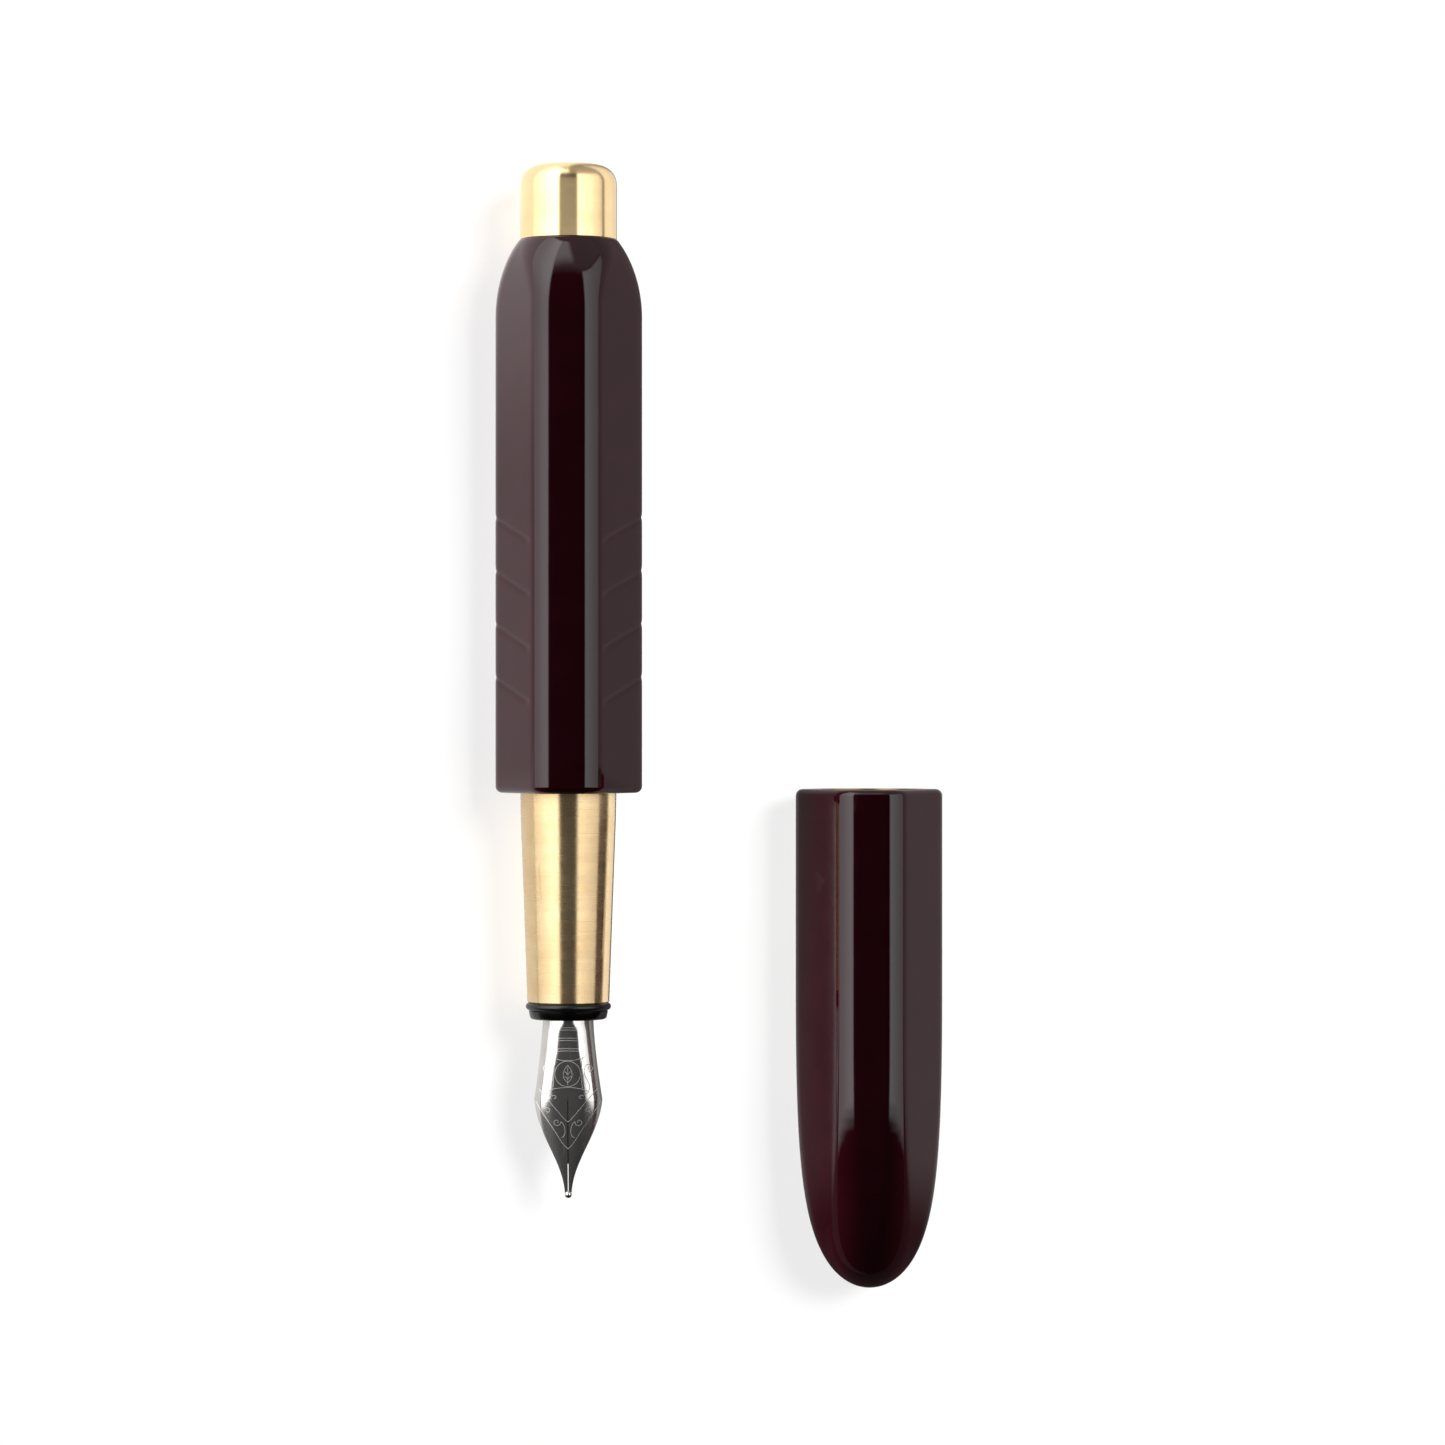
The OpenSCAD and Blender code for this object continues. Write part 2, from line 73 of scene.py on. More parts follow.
# The section: reach of the flats and of the ridges, and the rounding of the six edges
flat_reach = axis_z - barrel_box[0][2]
ridge_reach = barrel_box[1][2] - axis_z
half_w = (barrel_box[1][0] - barrel_box[0][0]) / 2
edge_round = ((flat_reach + ridge_reach) / sqrt(3) - half_w) / (2 / sqrt(3) - 1)
core_w = half_w - edge_round
liner_r = (liner_box[1][0] - liner_box[0][0]) / 2
liner_len = liner_box[1][1] - face_y

mouth_round = 0.7 * mm
dome_len = barrel_len - liner_len - 0.1 * mm
dome_axis = dome_len * 1.35
tail_round = 0.15 * mm
spigot_r = 4.4 * mm
round_power = 4

groove_count = 4
groove_first = 10.5 * mm
groove_pitch = 5.6 * mm
groove_slope = radians(18.5)
groove_depth = 0.1 * mm
groove_half_width = 0.3 * mm


def corner_core(k):
    """Corner of the section's sharp core between face k and the next; face 0 is the top ridge."""
    here = (ridge_reach if k % 2 == 0 else flat_reach) - edge_round
    after = (ridge_reach if k % 2 else flat_reach) - edge_round
    a, b = here - after / 2, after - here / 2
    t, u = radians(90 - 60 * k), radians(30 - 60 * k)
    return Vector((a * cos(t) + b * cos(u), a * sin(t) + b * sin(u))) / 0.75


def section_points():
    """Points of the section as (core point, normal angle, face, distance along the face)."""
    arc_steps, flat_steps, ridge_steps = 12, 14, 6
    points = []
    for k in range(6):
        core, nxt = corner_core(k), corner_core((k + 1) % 6)
        for i in range(arc_steps + 1):
            turn = 60 * (k + i / arc_steps)
            points.append((core, radians(90 - turn), k, i / arc_steps))
        steps = flat_steps if k % 2 == 0 else ridge_steps
        for i in range(1, steps):
            normal = radians(90 - 60 * (k + 1))
            points.append((core.lerp(nxt, i / steps), normal, k, 1 + i / steps))
    return points


def stand_back(d, r):
    """How far a rounded edge of radius r stands back at a distance d from its end face."""
    return 0 if d >= r else r - sqrt(r * r - (r - d) ** 2)


def shaped(name, verts, faces, sharp=None):
    """A smooth mesh piece in the scene; edges that turn more than sharp degrees stay crisp."""
    mesh = bpy.data.meshes.new(name)
    mesh.from_pydata(verts, [], faces)
    mesh.update()
    mesh.polygons.foreach_set("use_smooth", [True] * len(mesh.polygons))
    if sharp:
        mesh.set_sharp_from_angle(angle=radians(sharp))
    obj = bpy.data.objects.new(name, mesh)
    bpy.context.scene.collection.objects.link(obj)
    return obj


def outward(obj, weld=0):
    """Turns the faces to look outward, after merging points that lie closer than weld."""
    work = bmesh.new()
    work.from_mesh(obj.data)
    if weld:
        bmesh.ops.remove_doubles(work, verts=work.verts, dist=weld)
    bmesh.ops.recalc_face_normals(work, faces=work.faces)
    work.to_mesh(obj.data)
    work.free()


def loft(name, rings, closed=False, sharp=32):
    """A piece skinned through rings of equally many points, its faces looking outward."""
    count = len(rings[0])
    pairs = [(j, j + 1) for j in range(len(rings) - 1)]
    if closed:
        pairs.append((len(rings) - 1, 0))
    faces = [
        (a * count + i, a * count + (i + 1) % count, b * count + (i + 1) % count, b * count + i)
        for a, b in pairs
        for i in range(count)
    ]
    obj = shaped(name, [p for ring in rings for p in ring], faces, sharp)
    outward(obj)
    return obj


def skin_ring(points, centre_x, y, c, r, sink=None):
    """One ring: the core scaled by c and rounded by r, with grooves sunk where sink says."""
    ring = []
    for core, angle, k, along in points:
        out = r - (sink(k, along, y) if sink else 0)
        x = c * core.x + out * cos(angle)
        z = c * core.y + out * sin(angle)
        ring.append((centre_x + x, y, axis_z + z))
    return ring


def round_ring(points, centre_x, y, r):
    """A ring of a round bore, with its points in line with the section's."""
    ring = []
    for core, angle, _, _ in points:
        p = core + edge_round * Vector((cos(angle), sin(angle)))
        p = p.normalized() * r
        ring.append((centre_x + p.x, y, axis_z + p.y))
    return ring


def groove_sink(k, along, y):
    """Depth of the chevron grooves at a place on an upper flat or on the edge outside it."""
    flat_w = (corner_core(1) - corner_core(0)).length
    edge_w = edge_round * pi / 3
    # distance across the flat from its edge beside the top ridge
    if k == 0 and along >= 1:
        q = (along - 1) * flat_w
    elif k == 1 and along <= 1:
        q = flat_w + along * edge_w
    elif k == 4 and along >= 1:
        q = flat_w - (along - 1) * flat_w
    elif k == 4 and along <= 1:
        q = flat_w + (1 - along) * edge_w
    else:
        return 0
    # the cutter runs in beside the top ridge and runs out on the rounded edge
    run_in = min(1, max(0, q / (0.9 * mm)))
    run_out = min(1, max(0, (flat_w + 0.8 * edge_w - q) / (0.5 * mm)))
    rise = (q - flat_w / 2) * sin(groove_slope) / cos(groove_slope)
    step = (y - face_y - groove_first - rise) / groove_pitch
    nearest = min(groove_count - 1, max(0, round(step)))
    d = (step - nearest) * groove_pitch * cos(groove_slope) / groove_half_width
    return run_in * run_out * groove_depth / (1 + d**2) ** 2


barrel_points = section_points()
barrel_rings = []
for i in range(7):
    a = pi / 2 * i / 6
    inset = mouth_round * (1 - sin(a))
    y = face_y + mouth_round * (1 - cos(a))
    barrel_rings.append(skin_ring(barrel_points, pen_x, y, 1, edge_round - inset))
groove_start = face_y + groove_first - 3 * mm
groove_end = face_y + groove_first + (groove_count - 1) * groove_pitch + 4 * mm
groove_rings = round((groove_end - groove_start) / (0.12 * mm))
for i in range(groove_rings + 1):
    y = groove_start + (groove_end - groove_start) * i / groove_rings
    barrel_rings.append(skin_ring(barrel_points, pen_x, y, 1, edge_round, groove_sink))
dome_start = face_y + barrel_len - dome_len
dome_distances = [(dome_len - tail_round) * i / 40 for i in range(41)]
dome_distances += [dome_len - tail_round * (1 - sin(pi / 2 * i / 5)) for i in range(1, 6)]
for d in dome_distances:
    share = sqrt(1 - (d / dome_axis) ** 2)
    width = half_w * share - stand_back(dome_len - d, tail_round)
    c = share**round_power * (1 - (d / dome_len) ** 3)
    barrel_rings.append(skin_ring(barrel_points, pen_x, dome_start + d, c, width - c * core_w))
for y, r in [
    (face_y + barrel_len, spigot_r),
    (face_y + liner_len, spigot_r),
    (face_y + liner_len, liner_r),
    (face_y, liner_r),
]:
    barrel_rings.append(round_ring(barrel_points, pen_x, y, r))
barrel = loft("lacquered_barrel", barrel_rings, closed=True)


def group(name, inputs, outputs):
    """A node group with its sockets: inputs as {name: (kind, value)}, outputs as {name: kind}."""
    tree = bpy.data.node_groups.new(name, "ShaderNodeTree")
    for label, (kind, value) in inputs.items():
        socket = tree.interface.new_socket(label, in_out="INPUT", socket_type=kind)
        socket.default_value = value
    for label, kind in outputs.items():
        tree.interface.new_socket(label, in_out="OUTPUT", socket_type=kind)
    return tree, tree.nodes.new("NodeGroupInput"), tree.nodes.new("NodeGroupOutput")


def add(tree, kind, values=None, **settings):
    """A node with its settings and its unlinked input values."""
    node = tree.nodes.new(kind)
    for key, value in settings.items():
        setattr(node, key, value)
    for key, value in (values or {}).items():
        node.inputs[key].default_value = value
    return node


def join(tree, source, out, target, into):
    """A link from one node's output to another's input."""
    tree.links.new(source.outputs[out], target.inputs[into])


def polish_wander():
    """Slow unevenness of a polished surface: a tone mask and a height, over the object."""
    tree, given, result = group(
        "polish_wander",
        {"Size": ("NodeSocketFloat", 400.0), "Detail": ("NodeSocketFloat", 3.0)},
        {"Mask": "NodeSocketFloat", "Height": "NodeSocketFloat"},
    )
    place = add(tree, "ShaderNodeTexCoord")
    slow = add(tree, "ShaderNodeTexNoise", {"Roughness": 0.45})
    fine = add(tree, "ShaderNodeTexNoise", {"Roughness": 0.6, "Detail": 2.0})
    finer = add(tree, "ShaderNodeMath", {1: 4.0}, operation="MULTIPLY")
    both = add(tree, "ShaderNodeMath", {1: 0.05, 2: 0.0}, operation="MULTIPLY_ADD")
    join(tree, place, "Object", slow, "Vector")
    join(tree, place, "Object", fine, "Vector")
    join(tree, given, "Size", slow, "Scale")
    join(tree, given, "Detail", slow, "Detail")
    join(tree, given, "Size", finer, 0)
    join(tree, finer, 0, fine, "Scale")
    join(tree, fine, "Fac", both, 0)
    join(tree, slow, "Fac", both, 2)
    join(tree, slow, "Fac", result, "Mask")
    join(tree, both, 0, result, "Height")
    return tree


def hairlines():
    """Sparse hair scratches from handling: a mask that is 1 on a scratch."""
    tree, given, result = group(
        "hairlines",
        {"Size": ("NodeSocketFloat", 120.0), "Width": ("NodeSocketFloat", 0.02)},
        {"Mask": "NodeSocketFloat"},
    )
    place = add(tree, "ShaderNodeTexCoord")
    lines = None
    for turn, stretch in ((0.5, 0.08), (-0.9, 0.05)):
        mapping = add(tree, "ShaderNodeMapping")
        mapping.inputs["Rotation"].default_value = (0.2, 0.3, turn)
        mapping.inputs["Scale"].default_value = (1.0, stretch, 1.0)
        cells = add(tree, "ShaderNodeTexVoronoi", feature="DISTANCE_TO_EDGE")
        line = add(tree, "ShaderNodeMath", operation="LESS_THAN")
        join(tree, place, "Object", mapping, "Vector")
        join(tree, mapping, "Vector", cells, "Vector")
        join(tree, given, "Size", cells, "Scale")
        join(tree, cells, "Distance", line, 0)
        join(tree, given, "Width", line, 1)
        if lines is None:
            lines = line
        else:
            both = add(tree, "ShaderNodeMath", operation="MAXIMUM")
            join(tree, lines, 0, both, 0)
            join(tree, line, 0, both, 1)
            lines = both
    patches = add(tree, "ShaderNodeTexNoise", {"Scale": 260.0, "Detail": 1.0})
    some = add(tree, "ShaderNodeMapRange", {"From Min": 0.52, "From Max": 0.62})
    kept = add(tree, "ShaderNodeMath", operation="MULTIPLY")
    join(tree, place, "Object", patches, "Vector")
    join(tree, patches, "Fac", some, "Value")
    join(tree, some, "Result", kept, 0)
    join(tree, lines, 0, kept, 1)
    join(tree, kept, 0, result, "Mask")
    return tree


wander_group = polish_wander()
hairline_group = hairlines()


def material(name):
    """A new material, its tree and its principled shader."""
    made = bpy.data.materials.new(name)
    made.use_nodes = True
    tree = made.node_tree
    return made, tree, tree.nodes["Principled BSDF"]


def use(tree, node_group, **values):
    """A group placed in a material with its own values."""
    node = tree.nodes.new("ShaderNodeGroup")
    node.node_tree = node_group
    for key, value in values.items():
        node.inputs[key].default_value = value
    return node


def two_tone(tree, marks, first, second):
    """A colour that moves between two tones with the mask of some marks."""
    ramp = add(tree, "ShaderNodeMapRange", {"From Min": 0.35, "From Max": 0.65})
    mix = add(tree, "ShaderNodeMix", data_type="RGBA")
    mix.inputs[6].default_value = (*first, 1)
    mix.inputs[7].default_value = (*second, 1)
    join(tree, marks, "Mask", ramp, "Value")
    join(tree, ramp, "Result", mix, "Factor")
    return mix.outputs[2]


def dull(tree, shader, marks, low, high):
    """Roughness that rises from low to high with the mask of some marks."""
    rough = add(tree, "ShaderNodeMapRange", {"To Min": low, "To Max": high})
    join(tree, marks, "Mask", rough, "Value")
    join(tree, rough, "Result", shader, "Roughness")


def ripple(tree, shader, marks, strength, distance):
    """A slight unevenness of the surface from the height of some marks."""
    bump = add(tree, "ShaderNodeBump", {"Strength": strength, "Distance": distance})
    join(tree, marks, "Height", bump, "Height")
    join(tree, bump, "Normal", shader, "Normal")


lacquer, tree, shader = material("burgundy_lacquer")
wander = use(tree, wander_group, Size=260.0, Detail=2.0)
scratch = use(tree, hairline_group, Size=55.0, Width=0.004)
tone = two_tone(tree, wander, (0.024, 0.0014, 0.0044), (0.029, 0.0022, 0.0060))
specks = add(tree, "ShaderNodeTexVoronoi", {"Scale": 900.0, "Randomness": 1.0})
speck_mask = add(tree, "ShaderNodeMapRange", {"From Min": 0.05, "From Max": 0.02, "To Max": 0.35})
place = add(tree, "ShaderNodeTexCoord")
join(tree, place, "Object", specks, "Vector")
join(tree, specks, "Distance", speck_mask, "Value")
dusted = add(tree, "ShaderNodeMix", data_type="RGBA")
dusted.inputs[7].default_value = (0.06, 0.03, 0.03, 1)
join(tree, speck_mask, "Result", dusted, "Factor")
tree.links.new(tone, dusted.inputs[6])
tree.links.new(dusted.outputs[2], shader.inputs["Base Color"])
dull(tree, shader, scratch, 0.03, 0.16)
ripple(tree, shader, wander, 0.12, 0.00012)
shader.inputs["IOR"].default_value = 1.5

barrel.data.materials.append(lacquer)
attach(barrel, "barrel")
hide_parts("barrel_shell")


# ------------------------------------------------------------------- cap shell
# The cap is moulded and lacquered like the barrel, with the same flats and ridges.
# They run straight from the mouth, then close in and turn round towards a blunt nose.

cap_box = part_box("cap_shell")
inner_cap_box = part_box("inner_cap")
cap_liner_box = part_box("cap_liner")
cap_x = (cap_box[0][0] + cap_box[1][0]) / 2
mouth_y = cap_box[1][1]
cap_len = mouth_y - cap_box[0][1]
nose_len = 31.5 * mm
nose_slow = 0.41
nose_slow_power = 2.5
nose_fast_power = 6
inner_cap_r = 4.9 * mm

cap_points = section_points()
cap_rings = []
for y, r in [
    (inner_cap_box[0][1], 0.02 * mm),
    (inner_cap_box[0][1], inner_cap_r),
    (cap_liner_box[0][1], inner_cap_r),
    (cap_liner_box[0][1], liner_r),
    (mouth_y, liner_r),
]:
    cap_rings.append(round_ring(cap_points, cap_x, y, r))
for i in range(7):
    a = pi / 2 * i / 6
    inset = mouth_round * (1 - sin(a))
    y = mouth_y - mouth_round * (1 - cos(a))
    cap_rings.append(skin_ring(cap_points, cap_x, y, 1, edge_round - inset))
for i in range(1, 12):
    y = mouth_y - mouth_round - (cap_len - nose_len - mouth_round) * i / 12
    cap_rings.append(skin_ring(cap_points, cap_x, y, 1, edge_round))
nose_rings = 90
for i in range(nose_rings):
    v = sin(pi / 2 * i / nose_rings)
    share = sqrt(1 - nose_slow * v**nose_slow_power - (1 - nose_slow) * v**nose_fast_power)
    c = share**round_power
    y = mouth_y - (cap_len - nose_len) - v * nose_len
    cap_rings.append(skin_ring(cap_points, cap_x, y, c, half_w * share - c * core_w))
cap_rings.append(skin_ring(cap_points, cap_x, cap_box[0][1], 0, 0.01 * mm))
cap = loft("lacquered_cap", cap_rings)
cap.data.materials.append(lacquer)
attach(cap, "cap")
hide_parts("cap_shell")


# ------------------------------------------------------------------- tail post
# The post is turned from brass bar, polished bright, and fixed through the barrel's
# shoulder by its hollow spigot. The cap sits on it when the pen is in use.


def turned(name, outline, sides=128, sharp=32):
    """A lathe piece round the pen's axis: outline is a closed list of (radius, y)."""
    rings = [
        [
            (pen_x + r * sin(2 * pi * i / sides), y, axis_z + r * cos(2 * pi * i / sides))
            for i in range(sides)
        ]
        for r, y in outline
    ]
    return loft(name, rings, closed=True, sharp=sharp)


def quarter(r, y, radius):
    """Points of a rounded edge, as (radius, y), for a turned outline."""
    angles = [pi / 2 * i / 8 for i in range(9)]
    return [(r + radius * cos(a), y + radius * sin(a)) for a in angles]


post_r = (post_box[1][0] - post_box[0][0]) / 2
post_end = post_box[1][1]
post_round = 2.0 * mm
post_crown = 0.25 * mm
post_wall = 0.55 * mm
shoulder_y = barrel_box[1][1]
edge_y = post_end - post_crown
crown = [
    ((post_r - post_round) * (1 - i / 8), edge_y + post_crown * (1 - (1 - i / 8) ** 2))
    for i in range(1, 8)
]
post = turned(
    "brass_tail_post",
    [
        (spigot_r - post_wall, post_box[0][1]),
        (spigot_r, post_box[0][1]),
        (spigot_r, shoulder_y),
        (post_r - 0.05 * mm, shoulder_y),
        (post_r, shoulder_y + 0.05 * mm),
    ]
    + quarter(post_r - post_round, edge_y - post_round, post_round)
    + crown
    + [
        (0.01 * mm, post_end),
        (0.01 * mm, edge_y - 1.5 * mm),
        (spigot_r - post_wall, edge_y - 1.5 * mm),
    ],
)


def turning_marks():
    """Fine rings left by the lathe tool: a height, a mask and broken lines that change along Y."""
    tree, given, result = group(
        "turning_marks",
        {"Pitch": ("NodeSocketFloat", 9000.0), "Wander": ("NodeSocketFloat", 60.0)},
        {"Height": "NodeSocketFloat", "Mask": "NodeSocketFloat", "Line": "NodeSocketFloat"},
    )
    place = add(tree, "ShaderNodeTexCoord")
    apart = add(tree, "ShaderNodeSeparateXYZ")
    cells = add(tree, "ShaderNodeTexVoronoi", {"Scale": 330.0, "Randomness": 1.0}, voronoi_dimensions="1D")
    line = add(tree, "ShaderNodeMapRange", {"From Min": 0.014, "From Max": 0.0})
    arc = add(tree, "ShaderNodeTexNoise", {"Scale": 300.0, "Detail": 1.0})
    in_places = add(tree, "ShaderNodeMapRange", {"From Min": 0.5, "From Max": 0.62})
    broken = add(tree, "ShaderNodeMath", operation="MULTIPLY")
    join(tree, apart, "Y", cells, "W")
    join(tree, cells, "Distance", line, "Value")
    join(tree, place, "Object", arc, "Vector")
    join(tree, arc, "Fac", in_places, "Value")
    join(tree, line, "Result", broken, 0)
    join(tree, in_places, "Result", broken, 1)
    join(tree, broken, 0, result, "Line")
    slow = add(tree, "ShaderNodeTexNoise", {"Detail": 1.0})
    drift = add(tree, "ShaderNodeMath", {1: 0.00004}, operation="MULTIPLY")
    along = add(tree, "ShaderNodeMath", operation="ADD")
    rings = add(tree, "ShaderNodeTexNoise", {"Detail": 3.0, "Roughness": 0.7}, noise_dimensions="1D")
    bands = add(tree, "ShaderNodeTexNoise", {"Detail": 2.0}, noise_dimensions="1D")
    wide = add(tree, "ShaderNodeMath", {1: 0.12}, operation="MULTIPLY")
    join(tree, place, "Object", apart, "Vector")
    join(tree, place, "Object", slow, "Vector")
    join(tree, given, "Wander", slow, "Scale")
    join(tree, slow, "Fac", drift, 0)
    join(tree, apart, "Y", along, 0)
    join(tree, drift, 0, along, 1)
    join(tree, along, 0, rings, "W")
    join(tree, along, 0, bands, "W")
    join(tree, given, "Pitch", rings, "Scale")
    join(tree, given, "Pitch", wide, 0)
    join(tree, wide, 0, bands, "Scale")
    join(tree, rings, "Fac", result, "Height")
    join(tree, bands, "Fac", result, "Mask")
    return tree


turning_group = turning_marks()


def brass(name, tone_a, tone_b, rough_low, rough_high, ring_depth, pitch, brushed):
    """Turned brass: warm tone, lathe rings, hair scratches and slight handling marks."""
    made, tree, shader = material(name)
    rings = use(tree, turning_group, Pitch=pitch, Wander=70.0)
    smears = use(tree, wander_group, Size=420.0, Detail=4.0)
    scratch = use(tree, hairline_group, Size=75.0, Width=0.006)
    tone = two_tone(tree, smears, tone_a, tone_b)
    tree.links.new(tone, shader.inputs["Base Color"])
    polish = add(tree, "ShaderNodeMapRange", {"From Min": 0.3, "From Max": 0.7})
    polish.inputs["To Min"].default_value = rough_low
    polish.inputs["To Max"].default_value = rough_high
    worn = add(tree, "ShaderNodeMath", {1: 0.12, 2: 0.0}, operation="MULTIPLY_ADD")
    join(tree, rings, "Mask", polish, "Value")
    marks = add(tree, "ShaderNodeMath", operation="MAXIMUM")
    join(tree, scratch, "Mask", marks, 0)
    join(tree, rings, "Line", marks, 1)
    join(tree, marks, 0, worn, 0)
    join(tree, polish, "Result", worn, 2)
    join(tree, worn, 0, shader, "Roughness")
    bump = add(tree, "ShaderNodeBump", {"Strength": ring_depth, "Distance": 0.00002})
    second = add(tree, "ShaderNodeBump", {"Strength": 0.15, "Distance": 0.00001})
    join(tree, rings, "Height", bump, "Height")
    join(tree, smears, "Height", second, "Height")
    join(tree, bump, "Normal", second, "Normal")
    join(tree, second, "Normal", shader, "Normal")
    shader.inputs["Metallic"].default_value = 1.0
    shader.inputs["Anisotropic"].default_value = brushed
    shader.inputs["Anisotropic Rotation"].default_value = 0.25
    around = add(tree, "ShaderNodeTangent", direction_type="RADIAL", axis="Y")
    join(tree, around, "Tangent", shader, "Tangent")
    return made


polished_brass = brass(
    "polished_brass",
    tone_a=(0.94, 0.71, 0.39),
    tone_b=(0.90, 0.66, 0.35),
    rough_low=0.16,
    rough_high=0.22,
    ring_depth=0.1,
    pitch=9000.0,
    brushed=0.95,
)
post.data.materials.append(polished_brass)
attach(post, "barrel")
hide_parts("tail_post")


# ---------------------------------------------------------------- grip section
# The section is turned from brass on the lathe and left with its fine tool rings. It
# screws into the liner by its tenon, and its bore holds the nib unit and converter.

grip_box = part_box("grip_section")
grip_len = face_y - grip_box[0][1]
root_r = (grip_box[1][0] - grip_box[0][0]) / 2
grip_front_r = 4.3 * mm
grip_root_len = 2.5 * mm
grip_bore_r = 3.95 * mm
tenon_r = 4.6 * mm
ring_y = grip_box[0][1]
sleeve_r = 3.2 * mm
web_y = ring_y + 8.5 * mm
joint_seat = 0.78 * mm
tenon_end = grip_box[1][1]

thread_turns = []
thread_pitch = 0.8 * mm
thread_depth = 0.22 * mm
thread_from = face_y + joint_seat + 1.2 * mm
for i in range(8):
    y = thread_from + i * thread_pitch
    thread_turns += [
        (tenon_r, y),
        (tenon_r, y + 0.15 * mm),
        (tenon_r - thread_depth, y + 0.4 * mm),
        (tenon_r - thread_depth, y + 0.5 * mm),
    ]
taper = [
    (grip_front_r + (root_r - 0.03 * mm - grip_front_r) * i / 30,
     ring_y + 0.15 * mm + (grip_len - grip_root_len - 0.15 * mm) * i / 30)
    for i in range(31)
]
grip = turned(
    "brass_grip_section",
    [(sleeve_r, ring_y), (grip_front_r - 0.15 * mm, ring_y)]
    + taper
    + [
        (root_r, face_y - 0.02 * mm),
        (tenon_r - 0.3 * mm, face_y - 0.02 * mm),
        (tenon_r - 0.3 * mm, face_y + joint_seat),
        (tenon_r, face_y + joint_seat),
    ]
    + thread_turns
    + [
        (tenon_r, tenon_end - 0.3 * mm),
        (tenon_r - 0.3 * mm, tenon_end),
        (grip_bore_r, tenon_end),
        (grip_bore_r, web_y),
        (sleeve_r, web_y),
    ],
    sharp=20,
)
turned_brass = brass(
    "turned_brass",
    tone_a=(0.93, 0.70, 0.40),
    tone_b=(0.88, 0.63, 0.34),
    rough_low=0.24,
    rough_high=0.3,
    ring_depth=0.12,
    pitch=6500.0,
    brushed=0.92,
)
grip.data.materials.append(turned_brass)
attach(grip, "section")
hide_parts("grip_section")


# ---------------------------------------------------------------- rubber rings
# A moulded rubber ring is stretched over the collar's neck against the grip. Another
# is on the tenon, and a rubber seal is pressed on the piston's rod.

nose_ring_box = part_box("nose_ring")
nose_ring_r = (nose_ring_box[1][0] - nose_ring_box[0][0]) / 2
ring_half = (nose_ring_box[1][1] - nose_ring_box[0][1]) / 2
nose_ring = turned(
    "rubber_nose_ring",
    [
        (
            nose_ring_r - ring_half + ring_half * cos(radians(a)),
            nose_ring_box[0][1] + ring_half + ring_half * sin(radians(a)),
        )
        for a in range(-90, 91, 15)
    ]
    + [
        (nose_ring_r - 2 * ring_half, nose_ring_box[1][1]),
        (nose_ring_r - 2 * ring_half, nose_ring_box[0][1]),
    ],
)

rubber, tree, shader = material("black_rubber")
wander = use(tree, wander_group, Size=900.0, Detail=6.0)
tone = two_tone(tree, wander, (0.003, 0.003, 0.0033), (0.006, 0.006, 0.0064))
tree.links.new(tone, shader.inputs["Base Color"])
dull(tree, shader, wander, 0.24, 0.36)
ripple(tree, shader, wander, 0.25, 0.00003)
nose_ring.data.materials.append(rubber)
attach(nose_ring, "nib_unit")
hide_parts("nose_ring")


def dress(finish, *names):
    """Gives pieces that keep their designed shape their finish."""
    for name in names:
        nodes[name].data.materials.clear()
        nodes[name].data.materials.append(finish)


dress(rubber, "section_joint_ring", "piston_seal")


# ---------------------------------------------------------------- black collar
# The collar is injection moulded black plastic with a thin rounded rim. It is screwed
# into the grip by its sleeve, and the converter is pushed on the nipple at its back.

collar_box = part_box("nib_collar")
collar_r = (collar_box[1][0] - collar_box[0][0]) / 2
collar_front = collar_box[0][1]
neck_r = nose_ring_r - 2 * ring_half
sleeve_out = 3.15 * mm
nib_bore_r = 2.68 * mm
nipple_r = 1.3 * mm
nipple_bore_r = 0.7 * mm
collar_y = nose_ring_box[0][1]
collar = turned(
    "moulded_nib_collar",
    [
        (nib_bore_r, collar_front + 0.1 * mm),
        (nib_bore_r + 0.1 * mm, collar_front),
        (collar_r - 0.35 * mm, collar_front),
        (collar_r - 0.22 * mm, collar_front + 0.06 * mm),
        (collar_r - 0.12 * mm, collar_front + 0.2 * mm),
        (collar_r - 0.02 * mm, collar_y - 0.3 * mm),
        (collar_r, collar_y - 0.12 * mm),
        (collar_r - 0.06 * mm, collar_y),
        (neck_r, collar_y),
        (neck_r, ring_y),
        (sleeve_out, ring_y),
        (sleeve_out, web_y),
        (nipple_r, web_y),
        (nipple_r, collar_box[1][1] - 0.2 * mm),
        (nipple_r - 0.2 * mm, collar_box[1][1]),
        (nipple_bore_r, collar_box[1][1]),
        (nipple_bore_r, web_y - 1 * mm),
        (nib_bore_r, web_y - 1 * mm),
    ],
)
black_plastic, tree, shader = material("moulded_black_plastic")
wander = use(tree, wander_group, Size=700.0, Detail=5.0)
tone = two_tone(tree, wander, (0.002, 0.002, 0.0022), (0.004, 0.004, 0.0043))
tree.links.new(tone, shader.inputs["Base Color"])
dull(tree, shader, wander, 0.12, 0.22)
ripple(tree, shader, wander, 0.15, 0.00003)
collar.data.materials.append(black_plastic)
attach(collar, "nib_unit")
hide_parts("nib_collar")


# ------------------------------------------------------------------------ feed
# The feed is moulded black plastic with a comb of thin fins and an ink channel along
# its top. It is pushed into the collar together with the nib, which it holds in place.

